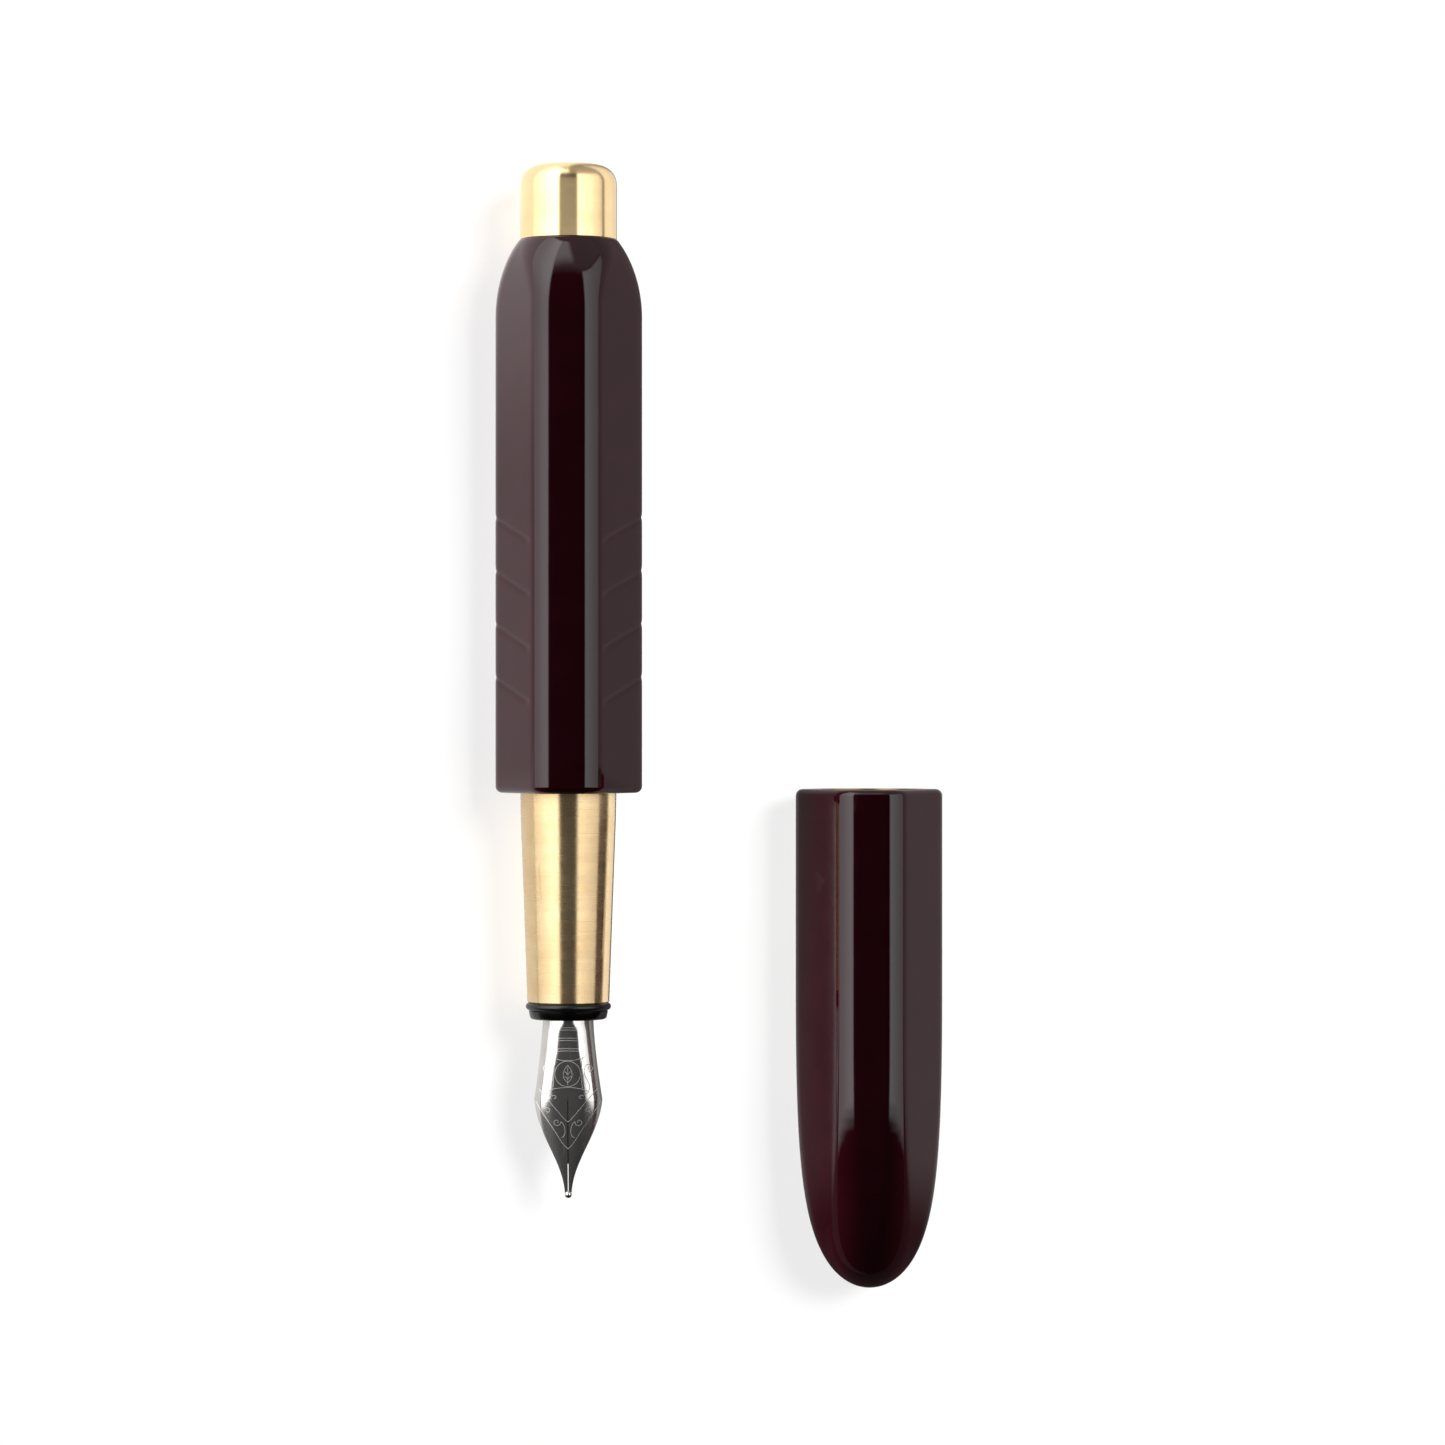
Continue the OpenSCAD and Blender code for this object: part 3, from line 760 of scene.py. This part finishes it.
feed_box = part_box("feed")
feed_r = (feed_box[1][0] - feed_box[0][0]) / 2
feed_front_len = collar_front - feed_box[0][1]
feed_front_r = 0.66 * mm
fin_count = 9
fin_pitch = 1.15 * mm
fin_gap = 0.45 * mm
fin_depth = 0.55 * mm


def feed_radius(t):
    """The feed's radius at a distance t in front of the collar."""
    return feed_r if t <= 0 else feed_r - (feed_r - feed_front_r) * t / feed_front_len


feed_outline = [(0.01 * mm, feed_box[1][1]), (feed_r, feed_box[1][1]), (feed_r, collar_front)]
for i in range(1, fin_count + 1):
    back = i * fin_pitch - fin_gap
    front = i * fin_pitch
    feed_outline += [
        (feed_radius(back), collar_front - back),
        (feed_radius(back) - fin_depth, collar_front - back - 0.02 * mm),
        (feed_radius(front) - fin_depth, collar_front - front + 0.02 * mm),
        (feed_radius(front), collar_front - front),
    ]
nose_r = feed_front_r * 0.6
feed_outline += [
    (feed_radius(feed_front_len - 0.7 * mm), feed_box[0][1] + 0.7 * mm),
    (feed_front_r * 0.92, feed_box[0][1] + 0.2 * mm),
    (nose_r, feed_box[0][1]),
    (0.01 * mm, feed_box[0][1]),
]
feed = turned("finned_feed", feed_outline, sides=72)
feed.data.materials.append(black_plastic)
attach(feed, "nib_unit")
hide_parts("feed")


# ------------------------------------------------------------------------- nib
# The nib is stamped from thin steel sheet, bent round the feed, slit between its tines
# and polished. It is pushed into the collar on top of the feed.

nib_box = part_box("nib")
tip_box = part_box("nib_tipping")
nib_len = collar_front - tip_box[0][1]
nib_tail_r = 2.65 * mm
nib_shoulder_w = 3.57 * mm
nib_sheet = 0.28 * mm
nib_tail_len = nib_box[1][1] - collar_front
shoulder_at = 8.4 * mm
tine_end = nib_len - 0.6 * mm
tine_end_w = 0.36 * mm
taper_mix = 0.2
crown_drop = 2.3 * mm
nib_flare = 0.2
round_until = 0.3 * mm
flatter_at = 1.2 * mm
flatter_until = 3 * mm
flattest_at = 5.6 * mm
slit_half = 0.045 * mm
slit_start = shoulder_at


def nib_width(t):
    """Half width of the nib at a distance t in front of the collar."""
    if t <= shoulder_at:
        return nib_tail_r + (nib_shoulder_w - nib_tail_r) * (max(0, t) / shoulder_at) ** 1.4
    q = (t - shoulder_at) / (tine_end - shoulder_at)
    fall = (1 - taper_mix) * (1 + cos(pi * q)) / 2 + taper_mix * (1 - q)
    return tine_end_w + (nib_shoulder_w - tine_end_w) * fall


def part_way(t, start, end):
    """How far t has gone from start to end, from 0 to 1."""
    return min(1, max(0, (t - start) / (end - start)))


def nib_section(x, t):
    """Height of the sheet's upper side above the axis at x across, and the tilt of its normal."""
    bend = nib_tail_r + nib_flare * max(0, t)
    top = nib_tail_r - crown_drop * (max(0, t) / nib_len) ** 1.5
    width = nib_width(t)
    u = min(1, abs(x) / width)
    power = 2 + part_way(t, round_until, flatter_at) + part_way(t, flatter_until, flattest_at)
    drop = sqrt(max(0, bend**2 - width**2 * u**power))
    tilt = atan2(width * power / 2 * u ** (power - 1), drop)
    return top - bend + drop, tilt if x >= 0 else -tilt


def nib_point(x, t, lift):
    """The point of the sheet's upper side at x across and t along, raised by lift."""
    height, tilt = nib_section(x, t)
    return Vector((pen_x + x + lift * sin(tilt), collar_front - t, axis_z + height + lift * cos(tilt)))


def sheet_half(side):
    """One half of the sheet, from the slit to its edge, upper side and under side."""
    stations = 150
    across = 22
    rows = []
    for j in range(stations + 1):
        t = -nib_tail_len + (tine_end + nib_tail_len) * j / stations
        inner = slit_half if t > slit_start else 0
        width = nib_width(t)
        row = []
        for depth in (0, -nib_sheet):
            part = []
            for i in range(across + 1):
                x = inner + (width - inner) * sin(pi / 2 * i / across)
                part.append(nib_point(side * x, t, depth))
            row.append(part)
        rows.append(row)
    return rows


nib_verts, nib_faces = [], []
for side in (-1, 1):
    rows = sheet_half(side)
    base = len(nib_verts)
    across = len(rows[0][0])
    for upper, under in rows:
        nib_verts += upper + under
    stride = 2 * across
    for j in range(len(rows) - 1):
        a, b = base + j * stride, base + (j + 1) * stride
        for i in range(across - 1):
            nib_faces.append((a + i, a + i + 1, b + i + 1, b + i))
            nib_faces.append((a + across + i, b + across + i, b + across + i + 1, a + across + i + 1))
        nib_faces.append((a + across - 1, a + 2 * across - 1, b + 2 * across - 1, b + across - 1))
        t = -nib_tail_len + (tine_end + nib_tail_len) * (j + 0.5) / (len(rows) - 1)
        if t > slit_start:
            nib_faces.append((a, b, b + across, a + across))
    for j in (0, len(rows) - 1):
        a = base + j * stride
        for i in range(across - 1):
            nib_faces.append((a + i, a + across + i, a + across + i + 1, a + i + 1))
nib = shaped("steel_nib", nib_verts, nib_faces)
outward(nib, weld=0.0005 * mm)
nib.data.set_sharp_from_angle(angle=radians(40))

steel, tree, shader = material("polished_steel")
smears = use(tree, wander_group, Size=600.0, Detail=5.0)
scratch = use(tree, hairline_group, Size=110.0, Width=0.006)
tone = two_tone(tree, smears, (0.66, 0.64, 0.61), (0.71, 0.69, 0.66))
tree.links.new(tone, shader.inputs["Base Color"])
dull(tree, shader, scratch, 0.14, 0.22)
ripple(tree, shader, smears, 0.12, 0.00003)
shader.inputs["Metallic"].default_value = 0.85
nib.data.materials.append(steel)
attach(nib, "nib_unit")
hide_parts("nib")


# ------------------------------------------------------------- nib's engraving
# The scroll work is cut with a fine tool before the nib is polished. Its lines are raised ribbons
# with a near-white, barely metallic colour: a painted highlight for the light the cut lines catch.
# There are curls at the sides, a leaf in a ring, and cross lines.


def curve_points(points):
    """A smooth run through listed (across, along) points, both in millimetres."""
    steps = 10
    ends = [points[0]] + points + [points[-1]]
    run = []
    for k in range(1, len(ends) - 2):
        p0, p1, p2, p3 = (Vector(p) for p in ends[k - 1 : k + 3])
        for i in range(steps):
            u = i / steps
            run.append(
                0.5
                * (
                    2 * p1
                    + (p2 - p0) * u
                    + (2 * p0 - 5 * p1 + 4 * p2 - p3) * u * u
                    + (3 * p1 - p0 - 3 * p2 + p3) * u**3
                )
            )
    run.append(Vector(points[-1]))
    return run


def spiral(cx, cy, start_r, end_r, start, end):
    """A curl round (cx, cy), angles in degrees, sizes in millimetres."""
    steps = 26
    run = []
    for i in range(steps + 1):
        u = i / steps
        a = radians(start + (end - start) * u)
        r = start_r + (end_r - start_r) * u
        run.append((cx + r * cos(a), cy + r * sin(a)))
    return run


# Each engraved line is (across, along) in millimetres on the right half, then mirrored
engraved = [
    curve_points(
        [(0, 13.55), (0.35, 13.2), (0.7, 12.75), (1.5, 11.5), (2.3, 10.3), (2.95, 9.35), (3.4, 8.6)]
    ),
    curve_points([(0, 10.7), (0.3, 10.45), (0.75, 9.95), (1.5, 9.05), (2.3, 8.1), (3.05, 7.25)]),
    spiral(1.17, 10.72, 0.12, 0.44, -200, 190),
    curve_points([(0.74, 10.64), (0.45, 11.0), (0.3, 11.6), (0.4, 12.15), (0.68, 12.35)]),
    spiral(2.12, 9.5, 0.1, 0.34, 0, 330),
    spiral(2.3, 5.05, 0.1, 0.36, 90, 470),
    curve_points(
        [(1.72, 7.9), (2.15, 7.5), (2.3, 6.95), (2.1, 6.4)]
        + [(1.8, 5.8), (1.74, 5.15), (1.95, 4.7), (2.3, 4.68)]
    ),
    spiral(1.4, 8.12, 0.08, 0.28, 60, 330),
    curve_points([(1.55, 3.95), (1.46, 4.6), (1.5, 5.6), (1.48, 6.6), (1.62, 7.35)]),
    curve_points([(0, 4.22), (0.6, 4.2), (1.2, 4.05), (1.75, 3.85)]),
    curve_points([(0, 7.02), (0.8, 7.1), (1.6, 7.25), (2.1, 7.45)]),
    curve_points([(0, 6.55), (0.36, 6.15), (0.46, 5.7), (0.34, 5.2), (0, 4.7)]),
    curve_points([(0, 6.2), (0.2, 5.95), (0.38, 5.9)]),
    curve_points([(0, 5.7), (0.2, 5.45), (0.36, 5.4)]),
]
leaf_ring = [(1.34 * sin(radians(a)), 5.62 + 1.34 * cos(radians(a))) for a in range(0, 361, 6)]
midrib = [(0, 6.75), (0, 4.95)]
cross_lines = [
    curve_points([(-1.1, t), (-0.5, t - 0.03), (0, t - 0.04), (0.5, t - 0.03), (1.1, t)])
    for t in (0.8, 1.05, 1.9, 2.15, 3.0, 3.25)
]
mirrored = [[(-x, t) for x, t in line] for line in engraved]


def engraving(name, lines, width, lift):
    """Fine raised burr lines that follow the sheet, as flat ribbons with a ridge."""
    verts, faces = [], []
    for line in lines:
        points = [Vector(p) for p in line]
        base = len(verts)
        for i, p in enumerate(points):
            before = points[max(0, i - 1)]
            after = points[min(len(points) - 1, i + 1)]
            way = (after - before).normalized()
            side = Vector((-way.y, way.x)) * width / 2
            for q, up in ((p - side, -0.004), (p, lift), (p + side, -0.004)):
                verts.append(nib_point(q.x * mm, q.y * mm, up * mm))
        for i in range(len(points) - 1):
            for j in range(2):
                a = base + 3 * i + j
                faces.append((a, a + 1, a + 4, a + 3))
    return shaped(name, verts, faces)


all_lines = engraved + mirrored + [leaf_ring, midrib] + cross_lines
scrolls = engraving("nib_engraving", all_lines, 0.09, 0.006)
# Painted highlight: the lines get a near-white colour and little metal, so they look lit whatever the
# light
engraved_painted_highlight, tree, shader = material("engraved_steel_painted_highlight")
grit = use(tree, wander_group, Size=2500.0, Detail=4.0)
tone = two_tone(tree, grit, (0.86, 0.85, 0.81), (0.92, 0.91, 0.88))
tree.links.new(tone, shader.inputs["Base Color"])
dull(tree, shader, grit, 0.5, 0.7)
shader.inputs["Metallic"].default_value = 0.1
scrolls.data.materials.append(engraved_painted_highlight)
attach(scrolls, "nib_unit")


# ------------------------------------------------------------------ point ball
# A ball of hard metal is welded on the nib's point, slit with the tines and ground a
# little flat below, where it touches the paper.

tipping_r = (tip_box[1][0] - tip_box[0][0]) / 2
tip_mid = [(tip_box[0][i] + tip_box[1][i]) / 2 for i in range(3)]
tip_rings = []
for i in range(25):
    a = -pi / 2 + pi * i / 24
    r = max(0.002 * mm, tipping_r * cos(a))
    ring = []
    for j in range(32):
        b = 2 * pi * j / 32
        flat = 0.82 if sin(b) < 0 else 1
        z = tip_mid[2] + r * sin(b) * flat
        ring.append((tip_mid[0] + r * cos(b), tip_mid[1] + tipping_r * sin(a), z))
    tip_rings.append(ring)
tipping = loft("nib_point_ball", tip_rings)
ball_metal, tree, shader = material("tipping_metal")
grit = use(tree, wander_group, Size=3000.0, Detail=3.0)
tone = two_tone(tree, grit, (0.74, 0.73, 0.71), (0.82, 0.81, 0.79))
tree.links.new(tone, shader.inputs["Base Color"])
dull(tree, shader, grit, 0.1, 0.2)
shader.inputs["Metallic"].default_value = 1.0
tipping.data.materials.append(ball_metal)
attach(tipping, "nib_unit")
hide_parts("nib_tipping")


# --------------------------------------------------------------- brass liners
# Two bored brass tubes are glued inside the barrel and the cap. They give the pen its
# weight, and the barrel's one is threaded for the grip's tenon.

liner_brass = brass(
    "bored_brass",
    tone_a=(0.52, 0.36, 0.17),
    tone_b=(0.44, 0.29, 0.13),
    rough_low=0.22,
    rough_high=0.34,
    ring_depth=0.6,
    pitch=4000.0,
    brushed=0.0,
)
dress(liner_brass, "barrel_liner", "cap_liner")


# ----------------------------------------------------------------- clutch ring
# A split ring of spring steel wire is snapped into a groove of the cap's liner. It
# grips the section's root when the pen is closed, and the post when the cap is on it.

spring_steel, tree, shader = material("spring_steel")
smears = use(tree, wander_group, Size=900.0, Detail=5.0)
tone = two_tone(tree, smears, (0.52, 0.52, 0.53), (0.62, 0.62, 0.62))
tree.links.new(tone, shader.inputs["Base Color"])
dull(tree, shader, smears, 0.22, 0.36)
shader.inputs["Metallic"].default_value = 1.0
dress(spring_steel, "cap_clutch_ring")


# ------------------------------------------- inner cap, converter's guide and rod
# The inner cap and the converter's guide, knob, screw and rod are moulded plastic, with
# a faint satin grain. The inner cap is glued in the nose, and the guide snaps in the band.

satin_plastic, tree, shader = material("satin_black_plastic")
grain = use(tree, wander_group, Size=1800.0, Detail=6.0)
tone = two_tone(tree, grain, (0.016, 0.016, 0.017), (0.026, 0.026, 0.027))
tree.links.new(tone, shader.inputs["Base Color"])
dull(tree, shader, grain, 0.38, 0.55)
ripple(tree, shader, grain, 0.3, 0.00002)
dress(satin_plastic, "inner_cap", "converter_guide", "converter_knob", "converter_screw", "piston_rod")


# -------------------------------------------------------------- converter tube
# The tube is moulded clear plastic, so that the ink shows, and is pushed on the
# collar's nipple. Its bore has a faint haze from the piston's seal.

clear_plastic, tree, shader = material("clear_plastic")
streaks = use(tree, wander_group, Size=350.0, Detail=3.0)
tone = two_tone(tree, streaks, (0.93, 0.94, 0.95), (0.86, 0.88, 0.9))
tree.links.new(tone, shader.inputs["Base Color"])
dull(tree, shader, streaks, 0.04, 0.14)
shader.inputs["Transmission Weight"].default_value = 0.9
shader.inputs["IOR"].default_value = 1.49
dress(clear_plastic, "converter_tube")


# -------------------------------------------------------------- converter band
# The band is drawn from thin metal, plated and rolled bright. It is pressed round the
# tube's end and holds the guide in it.

plated, tree, shader = material("plated_band")
rings = use(tree, turning_group, Pitch=7000.0, Wander=50.0)
smears = use(tree, wander_group, Size=500.0, Detail=4.0)
tone = two_tone(tree, smears, (0.70, 0.70, 0.71), (0.78, 0.78, 0.79))
tree.links.new(tone, shader.inputs["Base Color"])
dull(tree, shader, rings, 0.08, 0.16)
shader.inputs["Metallic"].default_value = 1.0
dress(plated, "converter_band")


# ---------------------------------------------------- table, lights and camera
# The set lies on a plain pale table inside a light tent: white cloth to the left, behind
# and to the right, open over the camera and in front. The table has its own soft key light.

low, high = cad_box
centre = Vector(((low[0] + high[0]) / 2, (low[1] + high[1]) / 2, 0))
floor_half = 3.0
floor_z = -0.02 * mm
floor_corners = [(-1, -1), (1, -1), (1, 1), (-1, 1)]
floor = shaped(
    "table", [(floor_half * x, floor_half * y, floor_z) for x, y in floor_corners], [(0, 1, 2, 3)]
)


def calc(tree, operation, *terms):
    """Numbers and sockets taken together in turn with one math operation."""
    value = terms[0]
    for term in terms[1:]:
        node = add(tree, "ShaderNodeMath", operation=operation)
        for i, part in enumerate((value, term)):
            if isinstance(part, (int, float)):
                node.inputs[i].default_value = part
            else:
                tree.links.new(part, node.inputs[i])
        value = node.outputs[0]
    return value


def fade(tree, value, start, end, low=0, high=1):
    """Goes smoothly from low, where value is start, to high, where it is end."""
    node = add(tree, "ShaderNodeMapRange", {"From Min": start, "From Max": end})
    node.inputs["To Min"].default_value = low
    node.inputs["To Max"].default_value = high
    node.interpolation_type = "SMOOTHSTEP"
    tree.links.new(value, node.inputs["Value"])
    return node.outputs["Result"]


# Painted shade and light in reflections only: the lacquer and the brass see the table's white scaled by
# place, darker right of the pen and in front of the cap, brighter behind
table_white_painted_reflections, tree, shader = material("table_white_painted_reflections")
mottle = use(tree, wander_group, Size=30.0, Detail=3.0)
tone = two_tone(tree, mottle, (0.9, 0.9, 0.9), (0.92, 0.92, 0.92))
place = add(tree, "ShaderNodeTexCoord")
apart = add(tree, "ShaderNodeSeparateXYZ")
join(tree, place, "Object", apart, "Vector")
x, y = apart.outputs["X"], apart.outputs["Y"]
behind = fade(tree, y, 25 * mm, 58 * mm, 0.58, 1.18)
beside_grip = fade(tree, y, -5 * mm, -9 * mm, 0, 0.17)
left_of_pen = fade(tree, x, pen_x, pen_x + 7 * mm, 1, 0)
left_painted_reflection = calc(tree, "MULTIPLY", left_of_pen, calc(tree, "ADD", behind, beside_grip))
right_of_pen = fade(tree, x, pen_x, pen_x + 7 * mm)
nearer_cap = fade(tree, x, pen_x + 7 * mm, pen_x + 19 * mm, 0.14, 0.34)
right_painted_reflection = calc(tree, "MULTIPLY", right_of_pen, nearer_cap)
before_cap = fade(tree, y, -46 * mm, -58 * mm, 1, 0.15)
# The painted reflection level of the table: painted shade right of the pen and before the cap, painted
# light behind it
painted_reflection_level = calc(tree, "MULTIPLY", before_cap, calc(tree, "ADD", left_painted_reflection, right_painted_reflection))
path = add(tree, "ShaderNodeLightPath")
reflected = path.outputs["Is Glossy Ray"]
# Only glossy rays take the painted level; the camera and diffuse rays see the plain white table
share = calc(tree, "ADD", calc(tree, "MULTIPLY", reflected, calc(tree, "SUBTRACT", painted_reflection_level, 1.0)), 1.0)
painted_reflection_colour = add(tree, "ShaderNodeVectorMath", operation="SCALE")
tree.links.new(tone, painted_reflection_colour.inputs[0])
tree.links.new(share, painted_reflection_colour.inputs["Scale"])
tree.links.new(painted_reflection_colour.outputs["Vector"], shader.inputs["Base Color"])
shader.inputs["Roughness"].default_value = 0.9
shader.inputs["Specular IOR Level"].default_value = 0.0
floor.data.materials.append(table_white_painted_reflections)

# The tent's cloths, placed in degrees: across to the right of straight up, and along to the back
tent = bpy.data.worlds.new("light_tent")
tent.use_nodes = True
tree = tent.node_tree
tree.nodes["Background"].inputs["Color"].default_value = (1, 1, 1, 1)
place = add(tree, "ShaderNodeTexCoord")
apart = add(tree, "ShaderNodeSeparateXYZ")
join(tree, place, "Generated", apart, "Vector")
degree = pi / 180
across = calc(tree, "DIVIDE", calc(tree, "ARCTAN2", apart.outputs["X"], apart.outputs["Z"]), degree)
lean = add(tree, "ShaderNodeMath", operation="ARCSINE")
join(tree, apart, "Y", lean, 0)
along = calc(tree, "DIVIDE", lean.outputs[0], degree)
front_edge = fade(tree, along, -11, -8)
back_edge = fade(tree, along, 75, 71)
left_edge = fade(tree, across, -17, -26)
rising = calc(
    tree, "MULTIPLY", fade(tree, across, -90, -30, 1.5, 2.7), fade(tree, along, 10, 40, 1, 1.25)
)
left_cloth = calc(tree, "MULTIPLY", left_edge, front_edge, back_edge, rising)

right_levels = [(24, 2.2), (44, 1.8), (62, 1.45), (83, 1.05), (107, 0.25)]
widest, brightest = 110, 3
falling = add(tree, "ShaderNodeValToRGB")
tree.links.new(calc(tree, "DIVIDE", across, widest), falling.inputs["Fac"])
ramp = falling.color_ramp
while len(ramp.elements) < len(right_levels):
    ramp.elements.new(0.5)
for element, (turn, level) in zip(ramp.elements, right_levels):
    element.position = turn / widest
    element.color = (level / brightest, level / brightest, level / brightest, 1)
right_edge = fade(tree, across, 20, 29)
right_back = fade(tree, along, 42, 38)
right_cloth = calc(
    tree, "MULTIPLY", falling.outputs["Color"], right_edge, right_back, front_edge, brightest
)

back_left = fade(tree, across, 16, -6)
back_front = fade(tree, along, 38, 56)
back_cloth = calc(tree, "MULTIPLY", back_left, back_front, back_edge, 2.0)
room = fade(tree, along, 34, 46, 0.015, 0.415)
light = calc(tree, "MAXIMUM", left_cloth, right_cloth, back_cloth, room)
path = add(tree, "ShaderNodeLightPath")
backdrop = calc(tree, "MULTIPLY", path.outputs["Is Camera Ray"], calc(tree, "SUBTRACT", 0.95, light))
tree.links.new(calc(tree, "ADD", light, backdrop), tree.nodes["Background"].inputs["Strength"])
tent.cycles_visibility.diffuse = False
bpy.context.scene.world = tent

only_table = bpy.data.collections.new("only_table")
only_table.objects.link(floor)
not_table = bpy.data.collections.new("not_table")
not_table.objects.link(floor)
not_table.collection_objects[0].light_linking.link_state = "EXCLUDE"


def soft_box(name, width, length, radiance, place, tilt, receivers):
    """A rectangular lamp for some receivers only; tilt turns its face, in degrees round Y."""
    lamp = bpy.data.lights.new(name, "AREA")
    lamp.shape = "RECTANGLE"
    lamp.size, lamp.size_y = width, length
    lamp.energy = radiance * pi * width * length
    obj = bpy.data.objects.new(name, lamp)
    obj.location = place
    obj.rotation_euler = (0, radians(tilt), 0)
    obj.light_linking.receiver_collection = receivers
    bpy.context.scene.collection.objects.link(obj)
    return obj


def side_light(name, tilt, radiance):
    """A low soft light for the colour of the lacquer, tilted from straight up to the right."""
    distance, set_back = 0.8, 0.4
    place = (distance * sin(radians(tilt)), set_back, distance * cos(radians(tilt)))
    soft_box(name, 0.25, 1.0, radiance, place, tilt, not_table).visible_glossy = False


side_light("left_fill", -76, 16)
side_light("right_fill", 78, 7.5)


def card(name, piece, place, tilt, size, radiance):
    """A pale card near one piece, seen only in its reflection; tilt 180 faces it upwards."""
    alone = bpy.data.collections.new(name)
    alone.objects.link(piece)
    soft_box(name, *size, radiance, place, tilt, alone).visible_camera = False


grip_mid = (face_y + ring_y) / 2
card("over_post", post, (pen_x, high[1], 0.3), 0, (0.3, 0.2), 0.44)
card("over_grip", grip, (pen_x, grip_mid, 0.3), 0, (0.3, 0.2), 0.09)
card("beside_post", post, (pen_x + 37 * mm, high[1], 0.3 * mm), 180, (60 * mm, 60 * mm), 0.72)
card("beside_grip", grip, (pen_x + 15 * mm, grip_mid, 0.3 * mm), 180, (14 * mm, 60 * mm), 0.75)
for side, radiance in ((-1, 2.2), (1, 1.6)):
    tilt, dip, distance = radians(57), radians(12.5), 0.4
    before_y = collar_front - 8 * mm - distance * sin(dip)
    place = (pen_x + side * distance * sin(tilt), before_y, distance * cos(tilt))
    card("before_nib", nib, place, side * 57, (0.5, 0.065), radiance)


def table_sun(name, source, brightness, softness, shadows):
    """A sun for the table alone; brightness is what it adds to a white surface."""
    lamp = bpy.data.lights.new(name, "SUN")
    lamp.energy = brightness * pi
    lamp.angle = radians(softness)
    lamp.use_shadow = shadows
    obj = bpy.data.objects.new(name, lamp)
    obj.rotation_euler = Vector(source).to_track_quat("Z", "Y").to_euler()
    obj.visible_glossy = False
    obj.light_linking.receiver_collection = only_table
    bpy.context.scene.collection.objects.link(obj)


table_sun("table_key", (0.55, 0.3, 0.9), 0.26, 18, True)
table_sun("table_wash", (0, 0, 1), 0.9, 5, False)
bpy.context.scene.view_settings.view_transform = "Standard"

camera_data = bpy.data.cameras.new("camera")
set_length = high[1] - low[1]
camera_height = 4.093 * set_length
view_width = 1.2856 * set_length
camera_data.sensor_width = 36
camera_data.lens = 36 * camera_height / view_width
camera_data.clip_start = 0.01
camera = bpy.data.objects.new("camera", camera_data)
camera.location = centre + Vector((0.38 * mm, 0.3 * mm, axis_z + camera_height))
bpy.context.scene.collection.objects.link(camera)
bpy.context.scene.camera = camera
